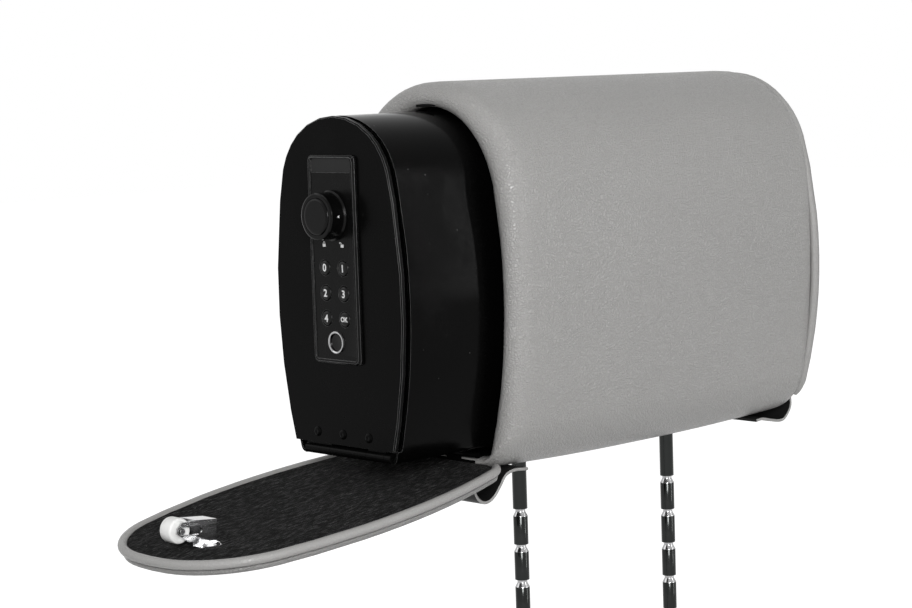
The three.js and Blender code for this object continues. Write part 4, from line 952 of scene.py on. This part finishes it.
# Light: a bright studio, soft from the upper left, with a plain pale floor
def lamp(name, at, to, size, power, size_y=None):
    light = bpy.data.lights.new(name, "AREA")
    light.shape = "RECTANGLE"
    light.size = size
    light.size_y = size_y or size
    light.energy = power
    lamp_object = bpy.data.objects.new(name, light)
    bpy.context.collection.objects.link(lamp_object)
    lamp_object.location = at
    lamp_object.rotation_euler = (Vector(to) - Vector(at)).to_track_quat("-Z", "Y").to_euler()


lamp("key", (-1.5, -1.6, 0.6), (-0.05, 0, 0.12), 0.7, 37)
lamp("fill", (0.8, -1.56, 0.3), (-0.14, -0.08, 0.12), 0.14, 6, 1.0)
lamp("strip", (1.64, -1.9, 0.9), (0, 0, 0.15), 0.06, 3, 2.2)
lamp("top", (-0.5, 0.2, 1.8), (-0.1, 0, 0), 1.0, 4)
lamp("rim", (-1.4, 1.3, 0.9), (-0.1, 0, 0.1), 0.9, 4)

world = bpy.data.worlds.new("studio")
bpy.context.scene.world = world
world.use_nodes = True
tree = world.node_tree
tree.nodes.clear()
path = tree.nodes.new("ShaderNodeLightPath")
seen = tree.nodes.new("ShaderNodeMath")
seen.operation = "MAXIMUM"
tree.links.new(path.outputs["Is Camera Ray"], seen.inputs[0])
tree.links.new(path.outputs["Is Transmission Ray"], seen.inputs[1])
either = tree.nodes.new("ShaderNodeMath")
either.operation = "MAXIMUM"
tree.links.new(seen.outputs[0], either.inputs[0])
tree.links.new(path.outputs["Is Glossy Ray"], either.inputs[1])
shown, lit = tree.nodes.new("ShaderNodeBackground"), tree.nodes.new("ShaderNodeBackground")
shown.inputs["Color"].default_value = (1, 1, 1, 1)
lit.inputs["Color"].default_value = (1, 1, 1, 1)
lit.inputs["Strength"].default_value = 0.17
mixed = tree.nodes.new("ShaderNodeMixShader")
tree.links.new(either.outputs[0], mixed.inputs[0])
tree.links.new(lit.outputs[0], mixed.inputs[1])
tree.links.new(shown.outputs[0], mixed.inputs[2])
out = tree.nodes.new("ShaderNodeOutputWorld")
tree.links.new(mixed.outputs[0], out.inputs["Surface"])

floor_shader = bpy.data.materials.new("floor")
floor_shader.use_nodes = True
ft = floor_shader.node_tree
ft.nodes.clear()
matte = ft.nodes.new("ShaderNodeBsdfDiffuse")
matte.inputs["Color"].default_value = (0.5, 0.5, 0.5, 1)
glow = ft.nodes.new("ShaderNodeEmission")
glow.inputs["Strength"].default_value = 1.75
fpath = ft.nodes.new("ShaderNodeLightPath")
fseen = ft.nodes.new("ShaderNodeMath")
fseen.operation = "MAXIMUM"
ft.links.new(fpath.outputs["Is Camera Ray"], fseen.inputs[0])
ft.links.new(fpath.outputs["Is Glossy Ray"], fseen.inputs[1])
share = ft.nodes.new("ShaderNodeMath")
share.operation = "MULTIPLY"
ft.links.new(fseen.outputs[0], share.inputs[0])
share.inputs[1].default_value = 0.6
fmix = ft.nodes.new("ShaderNodeMixShader")
ft.links.new(share.outputs[0], fmix.inputs[0])
ft.links.new(matte.outputs[0], fmix.inputs[1])
ft.links.new(glow.outputs[0], fmix.inputs[2])
fout = ft.nodes.new("ShaderNodeOutputMaterial")
ft.links.new(fmix.outputs[0], fout.inputs["Surface"])
floor_mesh = bpy.data.meshes.new("floor")
FLOOR_Z = cad_box[0][2] - 0.0005
floor_corners = [(x * 6, y * 6, FLOOR_Z) for x, y in ((-1, -1), (1, -1), (1, 1), (-1, 1))]
floor_mesh.from_pydata(floor_corners, [], [(0, 1, 2, 3)])
floor_mesh.materials.append(floor_shader)
floor = bpy.data.objects.new("floor", floor_mesh)
bpy.context.collection.objects.link(floor)

bpy.context.scene.view_settings.view_transform = "Standard"
